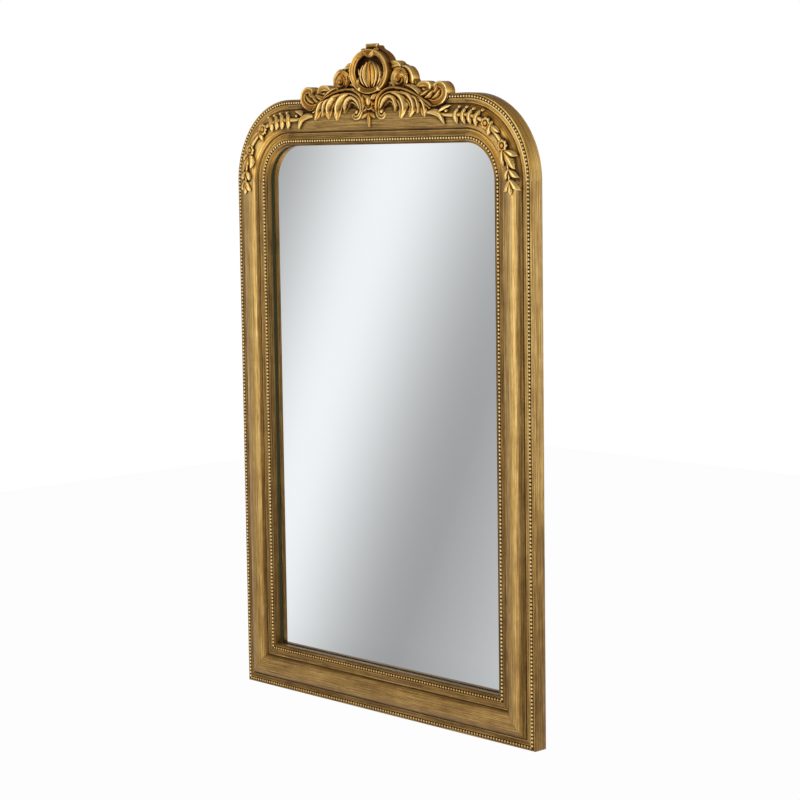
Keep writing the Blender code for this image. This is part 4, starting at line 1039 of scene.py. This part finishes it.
columns = int(outline["width"] / field["cell"]) + 1
levels = int((field["high"] - field["low"]) / field["cell"]) + 1
ground = np.full((columns, levels), field["outside"])
for i in range(columns):
    for j in range(levels):
        x, z = i * field["cell"] - halfWidth, j * field["cell"] + field["low"]
        inward = inwardAt(x, z)
        if inward > 0:
            ground[i, j] = seatHeight(x, z) if inward < moulding["width"] else field["glass"]
bareWide = blurred(ground, field["many"])
for shape in carvings.values():
    points = np.array(shape["points"])
    np.maximum.at(ground, gridPlace(points), outline["beadPlane"] - points[:, 1])
for choose in (np.maximum, np.minimum):  # closes the pinholes between points
    for axis in (0, 1):
        ground = choose(choose(np.roll(ground, 1, axis), np.roll(ground, -1, axis)), ground)
near = blurred(ground, field["few"])
wide = blurred(ground, field["many"])

# Level, least value, and how much the near and the wide surroundings count. A carving is painted darker where
# it lies below its surroundings and lighter where it stands above them: painted shade and painted highlight
# beside the gilt's patina. The right rose and garland are set lighter than the left ones, as painted light,
# and the slab darker, as painted shade behind the carving
tones = {
    "crest_ring": (0.5, 0.0, 0.1, 0.0), "crest_palmette": (0.56, 0.0, 1.6, 0.12),
    "crest_slab": (0.34, 0.16, 0.6, 0.25), "top_roll": (0.4, 0.1, 0.8, 0.2),
    "left_wing": (0.52, 0.1, 0.95, 0.3), "right_wing": (0.52, 0.1, 0.95, 0.3),
    "left_rose": (0.68, 0.0, 1.7, 0.1), "right_rose": (0.76, 0.0, 1.8, 0.1),
    "left_garland": (0.45, 0.0, 2.1, 0.5), "right_garland": (0.56, 0.0, 2.1, 0.5),
    "left_acanthus": (0.65, 0.0, 1.25, 0.42), "right_acanthus": (0.65, 0.0, 1.25, 0.42),
}
otherTone = (0.56, 0.02, 0.95, 0.36)
# The pieces' plain walls lie behind this front, and the slab is painted dark inside the ring, as painted
# shade
walls = {"front": -0.001, "tone": 0.48, "ringShare": 0.9, "ringTone": 0.06}


def shadeCarving(name, shape):
    level, least, close, broad = tones.get(name, otherTone)
    points = np.array(shape["points"])
    i, j = gridPlace(points)
    front = outline["beadPlane"] - points[:, 1]
    relief = np.array(shape["relief"]) - carved["tone"] + level
    # Painted shade where the carving lies below its surroundings, painted highlight where it stands above
    # them
    relief += close * (front - near[i, j]) / field["nearDepth"]
    relief += broad * (front - wide[i, j]) / field["wideDepth"]
    lowest = walls["front"] + (slabFront if name == "crest_slab" else 0)
    behind = (points[:, 1] > outline["beadPlane"] - lowest) & (name in tones) & (name != "crest_ring")
    relief = np.where(behind, walls["tone"], np.clip(relief, least, 1))
    if name == "crest_slab":
        away = np.hypot(points[:, 0] / ring["halfWidth"], (points[:, 2] - ringZ) / ring["halfHeight"])
        # Painted shade on the slab inside the ring
        relief = np.where((away < walls["ringShare"]) & ~behind, walls["ringTone"], relief)
    shape["relief"] = relief


def shadeMoulding(shape):
    # Painted shade: the moulding is darker where carving stands over it
    points = np.array(shape["points"])
    i, j = gridPlace(points)
    inside = np.array([inwardAt(x, z) for x, z in points[:, [0, 2]]]) > field["edge"]
    cover = np.clip((wide[i, j] - bareWide[i, j] - field["shadeFrom"]) / field["shadeDepth"], 0, 1)
    shape["relief"] = np.array(shape["relief"]) * (1 - field["shade"] * cover * inside)


for name, shape in carvings.items():
    shadeCarving(name, shape)
for name in ("top_rail", "left_corner_block", "right_corner_block"):
    shadeMoulding(mouldings[name])
print("relief shaded")

for name, shape in mouldings.items():
    madeObject(name, "moulding", shape, "antique_gilt")
for name, shape in carvings.items():
    slot = "antique_gilt" if name == "crest_slab" else "bright_gilt"
    madeObject(name, "carved", shape, "bright_gilt", pi / 3)

# The other nodes keep their shape, and take the finish of their slot
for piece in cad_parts.values():
    slot = piece.data.materials[0].name.split(".")[0] if piece.data.materials else ""
    if slot in finishes:
        piece.data.materials.clear()
        piece.data.materials.append(finishes[slot])
        piece.data.shade_smooth()
        piece.data.set_sharp_from_angle(angle=pi / 5)
print("finishes set on the nodes that keep their shape")

studio = {
    "key": ((-1.9, -2.6, 2.3), 1.2, 85.0), "fill": ((3.6, -0.9, 2.3), 1.8, 82.0),  # place, size and power
    "aim": (0, 0, 0.8), "world": 0.3,
    "roof": ((-4, 5), (-2, 4), (3.2, 3.2)), "roofColour": (0.9, 0.86, 0.8, 1), "roofGlow": 0.22,
    "floor": ((-9, 9), (-9, 9), (-1, -1)), "floorTone": 0.85, "floorGlow": 0.97,
}
scene = bpy.context.scene


def softLamp(name):
    place, size, power = studio[name]
    lamp = bpy.data.lights.new(name + "Lamp", "AREA")
    lamp.shape = "DISK"
    lamp.size = size
    lamp.energy = power
    made = bpy.data.objects.new(name + "Lamp", lamp)
    scene.collection.objects.link(made)
    made.location = place
    made.rotation_euler = (Vector(studio["aim"]) - Vector(place)).to_track_quat("-Z", "Y").to_euler()
    made.visible_glossy = False  # the card in front of the mirror gives the reflections


softLamp("key")
softLamp("fill")


def flatPiece(name, reach, material):
    (x0, x1), (y0, y1), (z0, z1) = reach
    corners = [(x0, y0, z0), (x1, y0, z0), (x1, y1, z1), (x0, y1, z1)]
    mesh = bpy.data.meshes.new(name)
    mesh.from_pydata(corners, [], [(0, 1, 2, 3)])
    mesh.materials.append(material)
    made = bpy.data.objects.new(name, mesh)
    scene.collection.objects.link(made)
    return made


def backgroundSeen(f):
    path = f.node("LightPath", None, None, None)
    return f.clamped(path["Is Camera Ray"] + path["Is Glossy Ray"] + path["Is Transmission Ray"])


def floorFinish():
    f = Finish("pale_floor")
    tone = studio["floorTone"]
    plain = f.node("BsdfDiffuse", {"Color": (tone, tone, tone, 1)})
    shown = f.node("MixShader", {0: studio["floorGlow"], 1: plain, 2: f.glow((1, 1, 1, 1), 1.0)})
    return f.done(f.node("MixShader", {0: backgroundSeen(f), 1: plain, 2: shown}))


# The grey card that the glass reflects: a slanted wave of light, a bright strip, and darker sides
card = {
    "place": ((-7, 5), (-2, -2), (-3, 5)), "colour": (0.985, 0.993, 1.0, 1),
    "slant": 0.47, "middle": -2.6255, "reach": 0.806,
    "tone": 0.7804, "swing": 0.1608, "climb": 0.1945, "gamma": 2.2, "gain": 1.12,
    "stripX": -0.3, "stripReach": 0.62, "stripGlow": 1.75, "right": (-0.6, 1.0), "rightTone": 0.28,
    "head": (1.6, 3.0), "foot": (-0.5, -1.7), "endShade": 0.6,
    "dusk": (0.75, -0.15), "duskFrom": (-0.95, -0.65), "duskShade": 0.45,
}


def cardFinish():
    f = Finish("grey_card")
    split = f.node("SeparateXYZ", {0: f.place()}, None, None)
    x, z = split["X"], split["Z"]

    def share(value, ends):
        return f.clamped((value - ends[0]) / (ends[1] - ends[0]))

    across = (x - z * card["slant"] - card["middle"]) / card["reach"]
    wave = f.maths("COSINE", f.maths("MINIMUM", f.maths("MAXIMUM", across, -1.0), 1.0) * pi)
    tone = card["tone"] + wave * card["swing"] + f.maths("MAXIMUM", across - 1.0, 0.0) * card["climb"]
    off = (x - card["stripX"]) / card["stripReach"]
    strip = f.maths("EXPONENT", off * off * -1.0) * card["stripGlow"]
    right = share(x, card["right"])
    level = tone ** card["gamma"] * card["gain"] * (1.0 - right) + right * card["rightTone"] + strip
    for shade in (
        share(z, card["head"]) * card["endShade"],
        share(z, card["foot"]) * card["endShade"],
        share(z, card["dusk"]) * share(x, card["duskFrom"]) * card["duskShade"],
    ):
        level = level * (1.0 - shade)
    return f.done(f.glow(card["colour"], level))


def roofFinish():
    f = Finish("dark_card")
    return f.done(f.glow(studio["roofColour"], studio["roofGlow"]))


flatPiece("floor", studio["floor"], floorFinish())
greyCard = flatPiece("grey_card", card["place"], cardFinish())
roofCard = flatPiece("roof_card", studio["roof"], roofFinish())
for made in (greyCard, roofCard):
    made.visible_camera = False
    made.visible_diffuse = False
    made.visible_shadow = False
    made.visible_transmission = False

scene.world = bpy.data.worlds.new("studio")
f = Finish("studio", scene.world)
seen = backgroundSeen(f)
strength = seen + (1.0 - seen) * studio["world"]
f.done(f.node("Background", {"Color": (1, 1, 1, 1), "Strength": strength}), "OutputWorld")
print("studio lit")

shot = {
    "place": (3.43, -3.2118, 1.2173), "lens": 98.13, "sensor": 36,
    "forward": (-0.7196, 0.6854, -0.1111), "right": (0.6907, 0.723, -0.0139),
}
camera = bpy.data.objects.new("camera", bpy.data.cameras.new("camera"))
scene.collection.objects.link(camera)
camera.data.lens = shot["lens"]
camera.data.sensor_width = shot["sensor"]
forward = Vector(shot["forward"]).normalized()
right = Vector(shot["right"])
right = (right - forward * right.dot(forward)).normalized()
turn = Matrix((right, right.cross(forward), -forward)).transposed().to_4x4()
camera.matrix_world = Matrix.Translation(shot["place"]) @ turn
scene.camera = camera
scene.view_settings.view_transform = "Standard"

bpy.context.view_layer.update()
